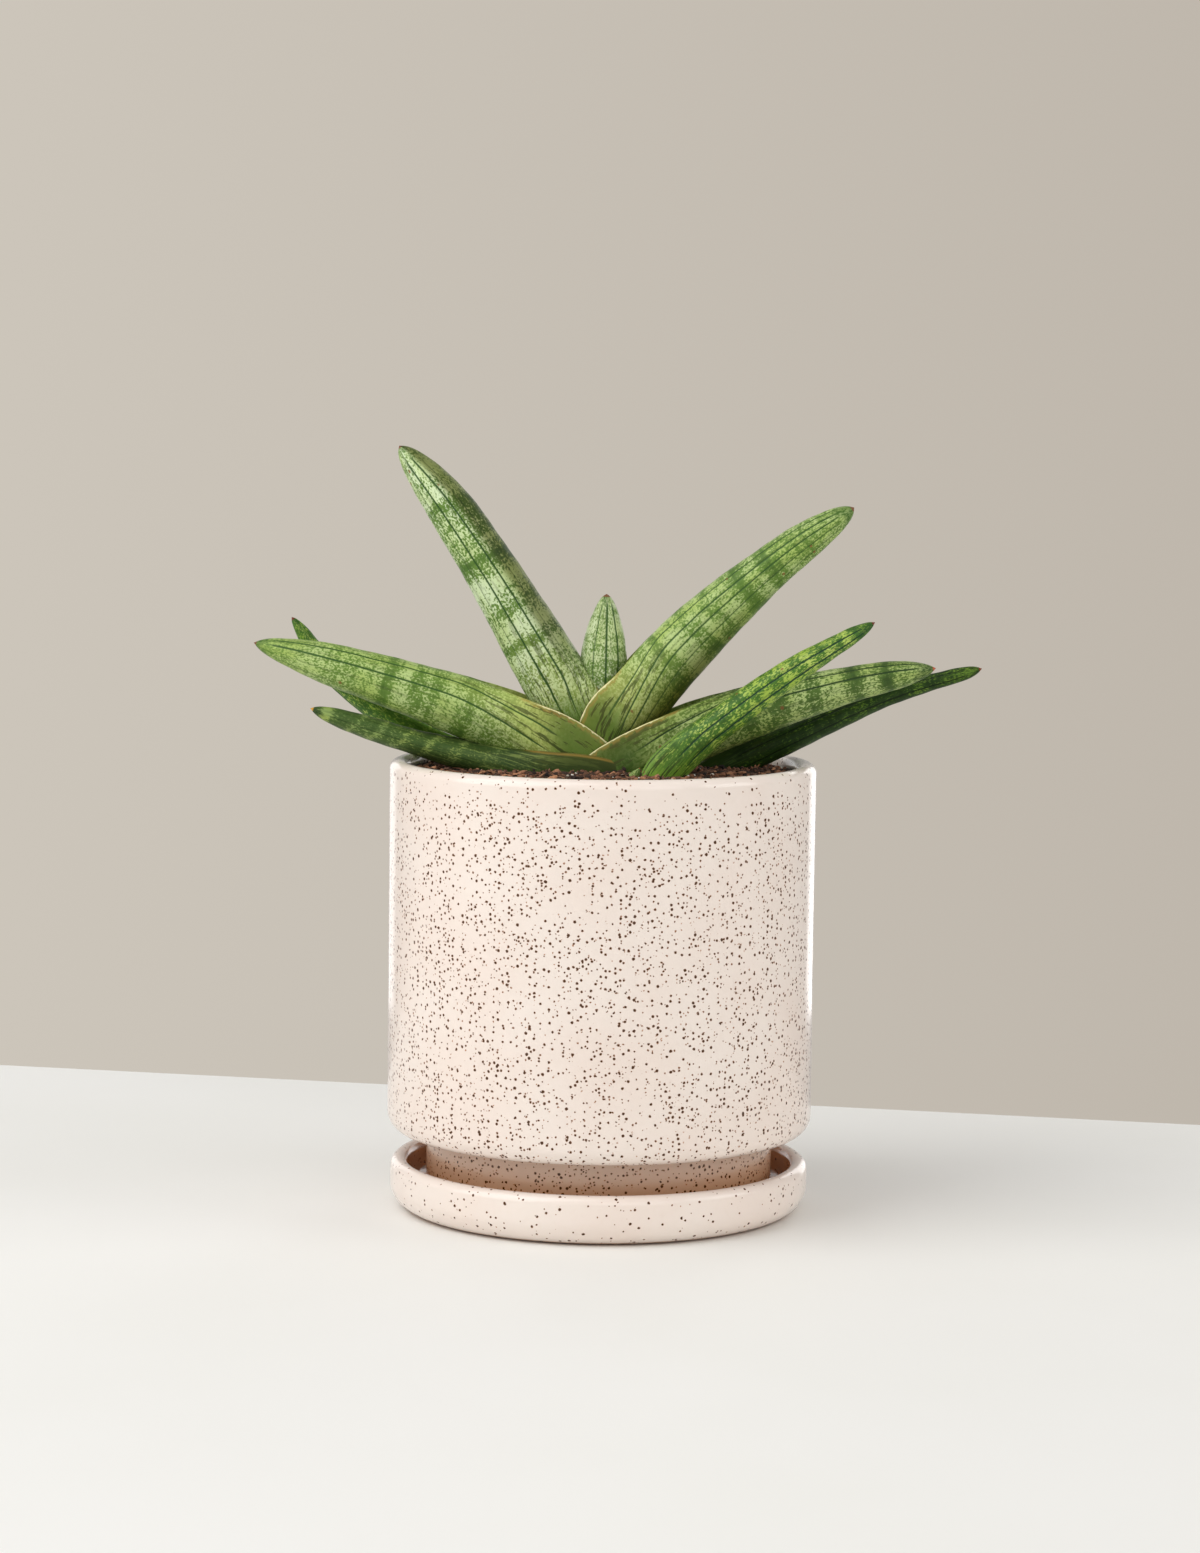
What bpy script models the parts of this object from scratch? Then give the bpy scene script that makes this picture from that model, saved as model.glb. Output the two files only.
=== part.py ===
"""A young cylindrical snake plant in a speckled cylinder pot that stands in a saucer.

Metres, +Z up. The origin is the centre of the saucer's flat underside. The plant's two-ranked fan
of leaves spreads along X, and -Y is the side that the plant is looked at from.
"""

import math
from dataclasses import dataclass

import bmesh
import bpy
from mathutils import Vector

MM = 0.001
CLEARANCE = 0.3 * MM

# Pot: a straight glazed cylinder on a narrower foot.
POT_RADIUS = 65.0 * MM
POT_TOP = 137.5 * MM
POT_WALL = 5.7 * MM
BODY_BOTTOM = 24.0 * MM
BODY_CORNER = 5.5 * MM
FOOT_RADIUS = 53.0 * MM
FOOT_WALL = 6.0 * MM
FOOT_FILLET = 1.5 * MM
FOOT_RING = 7.0 * MM
FOOT_RECESS = 2.0 * MM
POT_FLOOR = 6.5 * MM
DRAIN_RADIUS = 6.0 * MM

# Saucer: a shallow dish of the same ware.
SAUCER_RADIUS = 64.0 * MM
SAUCER_HEIGHT = 15.3 * MM
SAUCER_WALL = 5.5 * MM
SAUCER_FLOOR = 5.0 * MM
SAUCER_CORNER = 8.0 * MM
SAUCER_COVE = 4.0 * MM

WARE_SEGMENTS = 52
ARC_STEPS = 3

# Soil: fills the pot to just under its rim, slightly heaped at the plant.
SOIL_EDGE = 134.3 * MM
SOIL_HEAP = 1.2 * MM
SOIL_HEAP_RADIUS = 30.0 * MM
SOIL_CRUMB = 0.45 * MM
SOIL_SEGMENTS = 36
SOIL_RINGS = 8

# Leaf sections and stations.
OUTER_STEPS = 16
INNER_STEPS = 8
MARGIN_ANGLE = math.radians(120)
TIP_STATIONS = 4
GROOVE_DEPTH = 0.22 * MM
MARGIN_WALL = 1.5 * MM
KEEL_SHARE = 0.42
HARD_TIP_RADIUS = 0.55 * MM
HARD_TIP_LENGTH = 1.6 * MM

# Underground stem.
KNOB_RADIUS = 10.0 * MM
RUNNER_RADIUS = 4.2 * MM
RUNNER_START = 110.0 * MM
RUNNER_OVERLAP = 1.5 * MM
RUNNER_SAG = 4.0 * MM
RUNNER_STEPS = 5
ROOT_COUNT = 7
ROOT_RADIUS = 1.7 * MM
GOLDEN_ANGLE = math.radians(137.5)

# Base colour and roughness of each finish.
FINISHES = {
    "glaze": ((0.84, 0.76, 0.70), 0.22),
    "soil": ((0.060, 0.035, 0.022), 0.95),
    "rhizome": ((0.62, 0.36, 0.16), 0.70),
    "mottled_leaf": ((0.17, 0.28, 0.13), 0.48),
    "dark_leaf": ((0.05, 0.13, 0.045), 0.45),
    "bright_leaf": ((0.10, 0.26, 0.04), 0.42),
    "scale": ((0.46, 0.55, 0.25), 0.55),
}


@dataclass(frozen=True)
class Leaf:
    """One leaf. Each row holds x, y, z, half rise and half depth in mm, from root to tip."""

    name: str
    finish: str
    rows: tuple
    tip_length: float
    channel_end: float
    facing: tuple = (0.0, 0.0, 1.0)
    channel_depth: float = 1.0
    stations: int = 10


# The fan, from the outermost leaf to the innermost: each one clasps all that follow it.
FAN = (
    Leaf(
        "leaf_outer_left",
        "dark_leaf",
        (
            (11, 0, 127.6, 9, 13),
            (-7, 0, 131.6, 9, 15.5),
            (-26, 0, 135.5, 6.6, 13),
            (-50, -1, 140.5, 4.2, 7),
            (-72, -3, 147, 3.4, 4.6),
            (-89, -5, 152.7, 2.4, 3.0),
        ),
        tip_length=12,
        channel_end=0.62,
    ),
    Leaf(
        "leaf_middle_right",
        "mottled_leaf",
        (
            (-7, 0, 127, 8, 11),
            (5, 0, 135, 9.6, 14),
            (24, 0, 145, 9.4, 12),
            (46, -0.5, 153.2, 7.9, 8.6),
            (76, -2, 162, 5.4, 5.6),
            (100.5, -4.5, 167.1, 3.4, 3.6),
        ),
        tip_length=14,
        channel_end=0.55,
    ),
    Leaf(
        "leaf_middle_left",
        "mottled_leaf",
        (
            (4, 0, 131, 8, 9.5),
            (-12, 0, 141.1, 10, 12),
            (-30, 0, 148.9, 10, 10.8),
            (-60, 0.5, 158.9, 8.1, 8.4),
            (-88, 1.5, 167, 6.2, 6.4),
            (-106.9, 2.5, 172, 4.8, 4.8),
        ),
        tip_length=30,
        channel_end=0.5,
    ),
    Leaf(
        "leaf_upper_right",
        "mottled_leaf",
        (
            (0, 0, 131, 7.5, 7.6),
            (3, 0, 147.4, 10.6, 10),
            (12.2, 0, 159.4, 10.2, 9.8),
            (30.8, -0.5, 179.5, 8.9, 8.9),
            (54, -2, 200.2, 6.3, 6.8),
            (74.9, -4.5, 215.4, 5.0, 5.2),
        ),
        tip_length=22,
        channel_end=0.42,
    ),
    Leaf(
        "leaf_upper_left",
        "mottled_leaf",
        (
            (1, 0, 131, 6.5, 6),
            (-4.5, 0, 146, 9, 8),
            (-14.2, 0, 161, 10.3, 9.4),
            (-34.2, 1.0, 194, 8.3, 8.6),
            (-49, 3, 215.8, 7.1, 7.4),
            (-63.2, 6, 232.3, 6.0, 6.2),
        ),
        tip_length=30,
        channel_end=0.3,
        channel_depth=0.6,
    ),
    Leaf(
        "leaf_inner_centre",
        "mottled_leaf",
        (
            (1, 1, 133, 4, 3.6),
            (0, 1, 150, 6.2, 5.4),
            (-0.2, 1, 167, 7.2, 6.4),
            (0.5, 1, 188.2, 4.8, 4.6),
        ),
        tip_length=20,
        channel_end=0.3,
        channel_depth=0.0,
        facing=(-1.0, 0.0, 0.0),
    ),
)

# Slim leaves of young offsets, beside the fan.
OFFSETS = (
    Leaf(
        "leaf_front_right",
        "bright_leaf",
        (
            (13, -21, 126, 4.4, 4.4),
            (19, -21, 137, 6.0, 5.2),
            (33, -21, 149.3, 5.0, 4.8),
            (55, -21, 165.8, 4.2, 4.2),
            (80.6, -21, 181.7, 1.9, 2.2),
        ),
        tip_length=10,
        channel_end=0.35,
        channel_depth=0.5,
        stations=8,
    ),
    Leaf(
        "leaf_back_left",
        "bright_leaf",
        (
            (-24, 21, 126, 4.2, 4.0),
            (-41, 20, 134.5, 4.8, 4.4),
            (-62, 19, 145.4, 4.0, 4.2),
            (-83.5, 17, 162, 2.8, 3.7),
            (-96.5, 16, 179.2, 1.4, 1.6),
        ),
        tip_length=8,
        channel_end=0.8,
        facing=(0.35, -1.0, 0.45),
        channel_depth=0.7,
        stations=8,
    ),
    Leaf(
        "leaf_back_right",
        "dark_leaf",
        (
            (24, 15, 127, 4.4, 4.6),
            (40, 15, 136, 5.4, 5.2),
            (60, 14, 145, 4.4, 4.6),
            (88, 12, 157.6, 3.1, 3.6),
            (115.9, 10, 166.2, 2.0, 2.2),
        ),
        tip_length=9,
        channel_end=0.5,
        channel_depth=0.5,
        stations=8,
    ),
)

SCALE = Leaf(
    "sheath_scale",
    "scale",
    (
        (7, -22.0, 129, 1.6, 2.6),
        (8.5, -22.6, 133.5, 1.2, 2.4),
        (10.5, -23.0, 138.6, 0.8, 1.0),
    ),
    tip_length=3,
    channel_end=0.9,
    facing=(0.0, 1.0, 0.3),
    channel_depth=0.0,
    stations=3,
)


def clear_scene():
    """Empty the scene and make the collections of the parts and the cutters."""
    for item in list(bpy.data.objects):
        bpy.data.objects.remove(item)
    collections = []
    for name in ("cylindrical_snake_plant", "cutters"):
        collection = bpy.data.collections.new(name)
        bpy.context.scene.collection.children.link(collection)
        collections.append(collection)
    return collections


def finish_material(name):
    """The Principled material of one finish, made once."""
    if name in bpy.data.materials:
        return bpy.data.materials[name]
    colour, roughness = FINISHES[name]
    made = bpy.data.materials.new(name)
    made.use_nodes = True
    shader = made.node_tree.nodes["Principled BSDF"]
    shader.inputs["Base Color"].default_value = (*colour, 1.0)
    shader.inputs["Roughness"].default_value = roughness
    shader.inputs["Metallic"].default_value = 0.0
    return made


def add_object(name, mesh, collection, finish=None):
    """Link a mesh as a smooth-shaded object."""
    item = bpy.data.objects.new(name, mesh)
    collection.objects.link(item)
    mesh.shade_smooth()
    if finish:
        mesh.materials.append(finish_material(finish))
        mesh.set_sharp_from_angle(angle=math.radians(40))
    else:
        item.hide_render = True
        item.display_type = "WIRE"
    return item


def evaluated_mesh(item):
    """A new mesh of the object as its modifiers leave it."""
    bpy.context.view_layer.update()
    graph = bpy.context.evaluated_depsgraph_get()
    return bpy.data.meshes.new_from_object(item.evaluated_get(graph))


def arc(centre_r, centre_z, radius, start, end, steps=ARC_STEPS):
    """Points of an arc in the (radius, height) half plane, angles in degrees."""
    points = []
    for step in range(steps + 1):
        angle = math.radians(start + (end - start) * step / steps)
        points.append((centre_r + radius * math.cos(angle), centre_z + radius * math.sin(angle)))
    return points


def turned(name, profile, closed, segments, collection, finish=None):
    """Turn a profile about Z. A closed profile leaves the axis free; an open one ends on it."""
    mesh = bpy.data.meshes.new(name)
    count = len(profile)
    edges = [(k, k + 1) for k in range(count - 1)]
    if closed:
        edges.append((count - 1, 0))
    mesh.from_pydata([(r, 0.0, z) for r, z in profile], edges, [])
    item = add_object(name, mesh, collection, finish)
    screw = item.modifiers.new("turn", "SCREW")
    screw.steps = segments
    screw.render_steps = segments
    screw.use_merge_vertices = True
    screw.merge_threshold = 0.00001
    screw.use_smooth_shade = True
    return item


def pot_profile():
    """The pot's closed profile: down the outside, under the foot, up the drain and the inside."""
    rim = POT_WALL / 2
    rim_z = POT_TOP - rim
    inner = POT_RADIUS - POT_WALL
    foot_bottom = SAUCER_FLOOR + CLEARANCE
    floor_top = foot_bottom + POT_FLOOR
    foot_inner = FOOT_RADIUS - FOOT_WALL
    ledge = BODY_BOTTOM + POT_WALL
    corner = POT_RADIUS - BODY_CORNER
    points = arc(POT_RADIUS - rim, rim_z, rim, 90, 0)
    points += arc(corner, BODY_BOTTOM + BODY_CORNER, BODY_CORNER, 0, -90)
    points += arc(FOOT_RADIUS + FOOT_FILLET, BODY_BOTTOM - FOOT_FILLET, FOOT_FILLET, 90, 180, 1)
    points += arc(FOOT_RADIUS - FOOT_FILLET, foot_bottom + FOOT_FILLET, FOOT_FILLET, 0, -90, 1)
    points.append((FOOT_RADIUS - FOOT_RING, foot_bottom))
    points.append((FOOT_RADIUS - FOOT_RING - FOOT_RECESS, foot_bottom + FOOT_RECESS))
    points.append((DRAIN_RADIUS + FOOT_FILLET, foot_bottom + FOOT_RECESS))
    points.append((DRAIN_RADIUS, foot_bottom + FOOT_RECESS + FOOT_FILLET))
    points.append((DRAIN_RADIUS, floor_top))
    points += arc(foot_inner - SAUCER_COVE, floor_top + SAUCER_COVE, SAUCER_COVE, -90, 0, 1)
    points.append((foot_inner, ledge))
    points += arc(inner - SAUCER_COVE, ledge + SAUCER_COVE, SAUCER_COVE, -90, 0, 1)
    points += arc(POT_RADIUS - rim, rim_z, rim, 180, 90)[:-1]
    return points


def saucer_profile():
    """The saucer's open profile: from the axis over the dish's rim to the axis underneath."""
    rim = SAUCER_WALL / 2
    rim_z = SAUCER_HEIGHT - rim
    inner = SAUCER_RADIUS - SAUCER_WALL
    cove = arc(inner - SAUCER_COVE, SAUCER_FLOOR + SAUCER_COVE, SAUCER_COVE, -90, 0, 3)
    points = [(0.0, SAUCER_FLOOR)]
    points += cove
    points += arc(SAUCER_RADIUS - rim, rim_z, rim, 180, 0, 2 * ARC_STEPS)
    points += arc(SAUCER_RADIUS - SAUCER_CORNER, SAUCER_CORNER, SAUCER_CORNER, 0, -90)
    points.append((0.0, 0.0))
    return points


def soil_profile():
    """The soil's open profile: from the axis out over its top and down the inside of the pot."""
    radius = POT_RADIUS - POT_WALL - CLEARANCE
    foot_radius = FOOT_RADIUS - FOOT_WALL - CLEARANCE
    bottom = SAUCER_FLOOR + POT_FLOOR + 2 * CLEARANCE
    ledge = BODY_BOTTOM + POT_WALL + CLEARANCE
    points = [(0.0, SOIL_EDGE)]
    for ring in range(1, SOIL_RINGS + 1):
        points.append((radius * ring / SOIL_RINGS, SOIL_EDGE))
    points.append((radius, ledge + SAUCER_COVE))
    points.append((radius - SAUCER_COVE, ledge))
    points.append((foot_radius, ledge))
    points.append((foot_radius, bottom + SAUCER_COVE))
    points.append((foot_radius - SAUCER_COVE, bottom))
    points.append((0.0, bottom))
    return points


def crumb_height(x, y):
    """Height of the loose soil's uneven top above its edge level."""
    reach = math.hypot(x, y)
    heap = SOIL_HEAP * math.exp(-((reach / SOIL_HEAP_RADIUS) ** 2))
    waves = math.sin(x * 613.0 + 1.3) * math.sin(y * 547.0 + 0.4)
    waves += 0.6 * math.sin(x * 1117.0 - y * 431.0 + 2.1)
    rim_free = POT_RADIUS - POT_WALL - 2.5 * MM
    if reach > rim_free:
        return 0.0
    return heap + SOIL_CRUMB * waves / 1.6


def make_soil(collection):
    """Turn the soil and raise its top by the crumb formula."""
    item = turned("soil", soil_profile(), False, SOIL_SEGMENTS, collection, "soil")
    mesh = evaluated_mesh(item)
    item.modifiers.clear()
    item.data = mesh
    for vertex in mesh.vertices:
        if abs(vertex.co.z - SOIL_EDGE) < 0.01 * MM:
            vertex.co.z += crumb_height(vertex.co.x, vertex.co.y)
    return item


def spline_point(rows, position):
    """Smooth curve through the rows at a position from 0 to the last row's number."""
    last = len(rows) - 1
    span = min(int(position), last - 1)
    t = position - span
    values = []
    for k in range(len(rows[0])):
        p1 = rows[span][k]
        p2 = rows[span + 1][k]
        p0 = rows[span - 1][k] if span > 0 else 2 * p1 - p2
        p3 = rows[span + 2][k] if span + 2 <= last else 2 * p2 - p1
        slope1 = (p2 - p0) / 2
        slope2 = (p3 - p1) / 2
        cubic = (2 * t**3 - 3 * t**2 + 1) * p1 + (t**3 - 2 * t**2 + t) * slope1
        cubic += (3 * t**2 - 2 * t**3) * p2 + (t**3 - t**2) * slope2
        values.append(cubic)
    return values


def spine_table(rows, samples=240):
    """Positions along the curve with their distance from the root, in mm."""
    table = []
    length = 0.0
    before = None
    for k in range(samples + 1):
        position = (len(rows) - 1) * k / samples
        place = Vector(spline_point(rows, position)[:3])
        if before is not None:
            length += (place - before).length
        before = place
        table.append((length, position))
    return table


def position_at(table, distance):
    """Curve position at a distance from the root."""
    for (d0, p0), (d1, p1) in zip(table, table[1:]):
        if d1 >= distance:
            return p0 + (p1 - p0) * (distance - d0) / max(d1 - d0, 1e-9)
    return table[-1][1]


def smooth_step(value):
    """0 below 0, 1 above 1 and a smooth rise between."""
    value = min(max(value, 0.0), 1.0)
    return value * value * (3 - 2 * value)


def leaf_section(rise, depth, channel, wall, groove):
    """Closed outline across a leaf: (up, across) points, from the near margin round the keel."""
    points = []
    keel = KEEL_SHARE * rise
    for k in range(OUTER_STEPS + 1):
        angle = MARGIN_ANGLE * (2 * k / OUTER_STEPS - 1)
        side = math.copysign(1.0, angle)
        up = -rise * math.cos(angle)
        across = depth * math.sin(angle)
        if abs(angle) > math.pi / 2:
            share = (abs(angle) - math.pi / 2) / (MARGIN_ANGLE - math.pi / 2)
            up += (rise * share - up) * channel
            across += (side * depth * (1 - 0.08 * share**2) - across) * channel
        if k % 2 == 1:
            size = math.hypot(up, across)
            up *= 1 - groove / size
            across *= 1 - groove / size
        points.append((up, across))
    hollow = (
        (rise * 0.94, depth * 0.92 - wall),
        (0.0, depth - wall),
        (-0.62 * (rise - keel), 0.72 * (depth - wall)),
        (-(rise - keel), 0.0),
    )
    for k in range(1, INNER_STEPS):
        angle = MARGIN_ANGLE + (2 * math.pi - 2 * MARGIN_ANGLE) * k / INNER_STEPS
        mirrored = k > INNER_STEPS // 2
        index = INNER_STEPS - k - 1 if mirrored else k - 1
        hollow_up, hollow_across = hollow[index]
        if mirrored:
            hollow_across = -hollow_across
        up = -rise * math.cos(angle)
        across = depth * math.sin(angle)
        up += (hollow_up - up) * channel
        across += (hollow_across - across) * channel
        points.append((up, across))
    return points


def grown(points, grow):
    """A section moved outward by a distance, along the mean normal at each point."""
    count = len(points)
    moved = []
    for k in range(count):
        before = Vector(points[k - 1])
        here = Vector(points[k])
        after = Vector(points[(k + 1) % count])
        first = (here - before).normalized()
        second = (after - here).normalized()
        normal = Vector((first.y + second.y, -first.x - second.x))
        if normal.length < 1e-6:
            normal = Vector((first.y, -first.x))
        normal.normalize()
        moved.append(tuple(here - normal * grow))
    return moved


def leaf_stations(leaf):
    """Distances from the root, in mm, with the tip's narrowing at each."""
    length = spine_table(leaf.rows)[-1][0]
    body = length - leaf.tip_length
    taper = leaf.tip_length - HARD_TIP_LENGTH / MM
    stations = [(body * k / leaf.stations, 1.0) for k in range(leaf.stations)]
    for k in range(TIP_STATIONS + 1):
        turn = 0.5 * math.pi * k / TIP_STATIONS
        stations.append((body + taper * math.sin(turn), math.cos(turn)))
    return stations, length


def close_root(shape, ring):
    """Close the root end with triangles between the section's outside and its channel."""
    outside = ring[: OUTER_STEPS + 1]
    inside = list(reversed(ring[OUTER_STEPS + 1 :]))
    i = 0
    j = 0
    while i < len(outside) - 1 or j < len(inside) - 1:
        outer_share = (i + 1) / (len(outside) - 1)
        inner_share = (j + 1) / (len(inside) - 1)
        if j == len(inside) - 1 or (i < len(outside) - 1 and outer_share <= inner_share):
            shape.faces.new((outside[i + 1], outside[i], inside[j]))
            i += 1
        else:
            shape.faces.new((outside[i], inside[j], inside[j + 1]))
            j += 1


def leaf_mesh(leaf, grow=0.0):
    """Loft a leaf's sections along its spine into one closed mesh."""
    table = spine_table(leaf.rows)
    stations, length = leaf_stations(leaf)
    facing = Vector(leaf.facing)
    shape = bmesh.new()
    rings = []
    for distance, narrow in stations:
        position = position_at(table, distance)
        x, y, z, rise, depth = spline_point(leaf.rows, position)
        ahead = Vector(spline_point(leaf.rows, min(position + 0.02, len(leaf.rows) - 1))[:3])
        behind = Vector(spline_point(leaf.rows, max(position - 0.02, 0.0))[:3])
        along = (ahead - behind).normalized()
        up = (facing - along * facing.dot(along)).normalized()
        across = along.cross(up)
        if across.y > 0:
            across = -across
        rise = max(rise * MM * narrow, HARD_TIP_RADIUS)
        depth = max(depth * MM * narrow, HARD_TIP_RADIUS)
        share = distance / length
        fade = 1 - smooth_step((share - 0.15) / (leaf.channel_end - 0.15))
        channel = leaf.channel_depth * fade
        groove = GROOVE_DEPTH * narrow * smooth_step(share / 0.2)
        outline = leaf_section(rise, depth, channel, min(MARGIN_WALL, 0.4 * depth), groove)
        if grow:
            outline = grown(outline, grow)
        centre = Vector((x, y, z)) * MM
        if distance == 0.0:
            centre -= along * grow
        ring = [shape.verts.new(centre + up * p + across * q) for p, q in outline]
        rings.append(ring)
        tip = centre
        tip_along = along
    apex = shape.verts.new(tip + tip_along * (HARD_TIP_LENGTH + grow))
    count = len(rings[0])
    for low, high in zip(rings, rings[1:]):
        for k in range(count):
            follow = (k + 1) % count
            shape.faces.new((low[k], low[follow], high[follow], high[k]))
    for k in range(count):
        shape.faces.new((rings[-1][k], rings[-1][(k + 1) % count], apex))
    close_root(shape, rings[0])
    bmesh.ops.triangulate(shape, faces=shape.faces[:])
    bmesh.ops.recalc_face_normals(shape, faces=shape.faces[:])
    mesh = bpy.data.meshes.new(leaf.name)
    shape.to_mesh(mesh)
    shape.free()
    return mesh


def group_size(group):
    """Diagonal of the box round a group of vertices."""
    low = [min(vertex.co[k] for vertex in group) for k in range(3)]
    high = [max(vertex.co[k] for vertex in group) for k in range(3)]
    return math.dist(low, high)


def keep_largest(mesh):
    """Drop the small loose scraps that a cut leaves."""
    shape = bmesh.new()
    shape.from_mesh(mesh)
    left = set(shape.verts)
    groups = []
    while left:
        group = {left.pop()}
        edge = list(group)
        while edge:
            vertex = edge.pop()
            for link in vertex.link_edges:
                other = link.other_vert(vertex)
                if other in left:
                    left.remove(other)
                    group.add(other)
                    edge.append(other)
        groups.append(group)
    groups.sort(key=group_size, reverse=True)
    scraps = [vertex for group in groups[1:] for vertex in group]
    bmesh.ops.delete(shape, geom=scraps, context="VERTS")
    shape.to_mesh(mesh)
    shape.free()


def cut(item, cutters):
    """Cut an object by others and keep its largest piece.

    The nested sheaths graze each other, where EXACT leaves open edges and MANIFOLD does not.
    """
    for cutter in cutters:
        boolean = item.modifiers.new("cut", "BOOLEAN")
        boolean.operation = "DIFFERENCE"
        boolean.solver = "MANIFOLD"
        boolean.object = cutter
    mesh = evaluated_mesh(item)
    item.modifiers.clear()
    item.data = mesh
    keep_largest(mesh)


def tube(points, radii, collection, name, roundness=2):
    """A closed round tube through points, made a mesh from a bevelled curve."""
    curve = bpy.data.curves.new(name, "CURVE")
    curve.dimensions = "3D"
    curve.bevel_depth = 1.0
    curve.bevel_resolution = roundness
    curve.use_fill_caps = True
    spline = curve.splines.new("POLY")
    spline.points.add(len(points) - 1)
    for target, place, radius in zip(spline.points, points, radii):
        target.co = (*place, 1.0)
        target.radius = radius
    holder = bpy.data.objects.new(name, curve)
    collection.objects.link(holder)
    mesh = evaluated_mesh(holder)
    bpy.data.objects.remove(holder)
    bpy.data.curves.remove(curve)
    shape = bmesh.new()
    shape.from_mesh(mesh)
    bmesh.ops.remove_doubles(shape, verts=shape.verts[:], dist=0.000001)
    bmesh.ops.recalc_face_normals(shape, faces=shape.faces[:])
    shape.to_mesh(mesh)
    shape.free()
    return add_object(name, mesh, collection)


def root_path(index):
    """One root: out from the knob and down through the soil, with a slow wander."""
    heading = index * GOLDEN_ANGLE + 0.5
    reach = (34.0 + 9.0 * math.sin(index * 2.3)) * MM
    drop = (52.0 + 18.0 * math.cos(index * 1.7)) * MM
    points = []
    steps = 6
    for k in range(steps + 1):
        t = k / steps
        turn = heading + 0.35 * math.sin(2.6 * t + index)
        radius = 3.0 * MM + reach * math.sin(0.5 * math.pi * t)
        height = 111.0 * MM - drop * t**1.5 - 1.5 * MM * math.sin(5.0 * t + index)
        points.append((radius * math.cos(turn), radius * math.sin(turn), height))
    return points, [1.0 - 0.55 * k / steps for k in range(steps + 1)]


def rhizome_pieces(collection, grow):
    """The knob, the runners under the offsets and the roots, each grown by a distance."""
    pieces = []
    knob = [(0.0, 0.0, z * MM) for z in (100, 104, 110, 118, 125, 129)]
    swell = (0.45, 0.8, 1.0, 1.0, 0.9, 0.7)
    radii = [KNOB_RADIUS * s + grow for s in swell]
    pieces.append(tube(knob, radii, collection, "knob"))
    for leaf in OFFSETS:
        x, y, z = (value * MM for value in leaf.rows[0][:3])
        top = z + RUNNER_OVERLAP
        route = []
        radii = []
        for k in range(RUNNER_STEPS + 1):
            t = k / RUNNER_STEPS
            arch = math.sin(math.pi * t)
            route.append((x * t, y * t, RUNNER_START + (top - RUNNER_START) * t**2 - RUNNER_SAG * arch))
            radii.append(RUNNER_RADIUS * (1 - 0.15 * arch) + grow)
        pieces.append(tube(route, radii, collection, "runner"))
    for index in range(ROOT_COUNT):
        points, shares = root_path(index)
        radii = [ROOT_RADIUS * share + grow for share in shares]
        pieces.append(tube(points, radii, collection, "root", roundness=1))
    return pieces


def make_rhizome(name, collection, cutters, grow=0.0, finish=None):
    """Join the rhizome's pieces into one body."""
    pieces = rhizome_pieces(cutters, grow)
    item = pieces[0]
    group = bpy.data.collections.new("joined")
    for piece in pieces[1:]:
        group.objects.link(piece)
    join = item.modifiers.new("join", "BOOLEAN")
    join.operation = "UNION"
    join.solver = "EXACT"
    join.operand_type = "COLLECTION"
    join.collection = group
    mesh = evaluated_mesh(item)
    keep_largest(mesh)
    bpy.data.collections.remove(group)
    for piece in pieces:
        bpy.data.objects.remove(piece)
    return add_object(name, mesh, collection, finish)


def build():
    """Model every piece, then cut each one clear of what it clasps or stands in."""
    parts, cutters = clear_scene()
    turned("saucer", saucer_profile(), False, WARE_SEGMENTS, parts, "glaze")
    turned("pot", pot_profile(), True, WARE_SEGMENTS, parts, "glaze")
    soil = make_soil(parts)
    leaves = []
    grown_leaves = []
    for leaf in FAN + OFFSETS + (SCALE,):
        leaves.append(add_object(leaf.name, leaf_mesh(leaf), parts, leaf.finish))
        grown_leaves.append(add_object(leaf.name + "_grown", leaf_mesh(leaf, CLEARANCE), cutters))
    fan_count = len(FAN)
    for k in range(1, fan_count):
        cut(leaves[k], grown_leaves[:k])
    rhizome = make_rhizome("rhizome", parts, cutters, finish="rhizome")
    cut(rhizome, grown_leaves)
    rhizome_grown = make_rhizome("rhizome_grown", cutters, cutters, grow=CLEARANCE)
    cut(soil, grown_leaves + [rhizome_grown])
    for item in list(cutters.objects):
        bpy.data.objects.remove(item)


build()
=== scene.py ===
"""Looks of a young cylindrical snake plant in a speckled cylinder pot with its saucer.

Metres, +Z up, the same frame as the solids. The plant is looked at from -Y.
"""

import logging
import math
import random
from dataclasses import dataclass, replace
from enum import Enum

import bpy
import numpy as np
from mathutils import Matrix, Vector


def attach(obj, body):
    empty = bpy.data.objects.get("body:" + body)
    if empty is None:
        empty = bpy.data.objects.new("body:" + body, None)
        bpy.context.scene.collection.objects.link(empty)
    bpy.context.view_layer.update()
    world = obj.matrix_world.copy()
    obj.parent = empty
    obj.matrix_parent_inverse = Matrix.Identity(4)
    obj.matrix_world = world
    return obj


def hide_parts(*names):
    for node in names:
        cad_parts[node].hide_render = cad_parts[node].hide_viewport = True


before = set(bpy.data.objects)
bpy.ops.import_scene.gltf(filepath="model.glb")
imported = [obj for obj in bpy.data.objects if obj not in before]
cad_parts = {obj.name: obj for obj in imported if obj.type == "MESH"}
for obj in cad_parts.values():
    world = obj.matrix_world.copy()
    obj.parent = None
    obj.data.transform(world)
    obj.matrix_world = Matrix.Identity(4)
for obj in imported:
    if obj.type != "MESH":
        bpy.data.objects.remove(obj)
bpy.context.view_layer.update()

LOG = logging.getLogger("snake_plant")
MM = 0.001
BODY = "root"
FULL_TURN = 2.0 * math.pi

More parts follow.
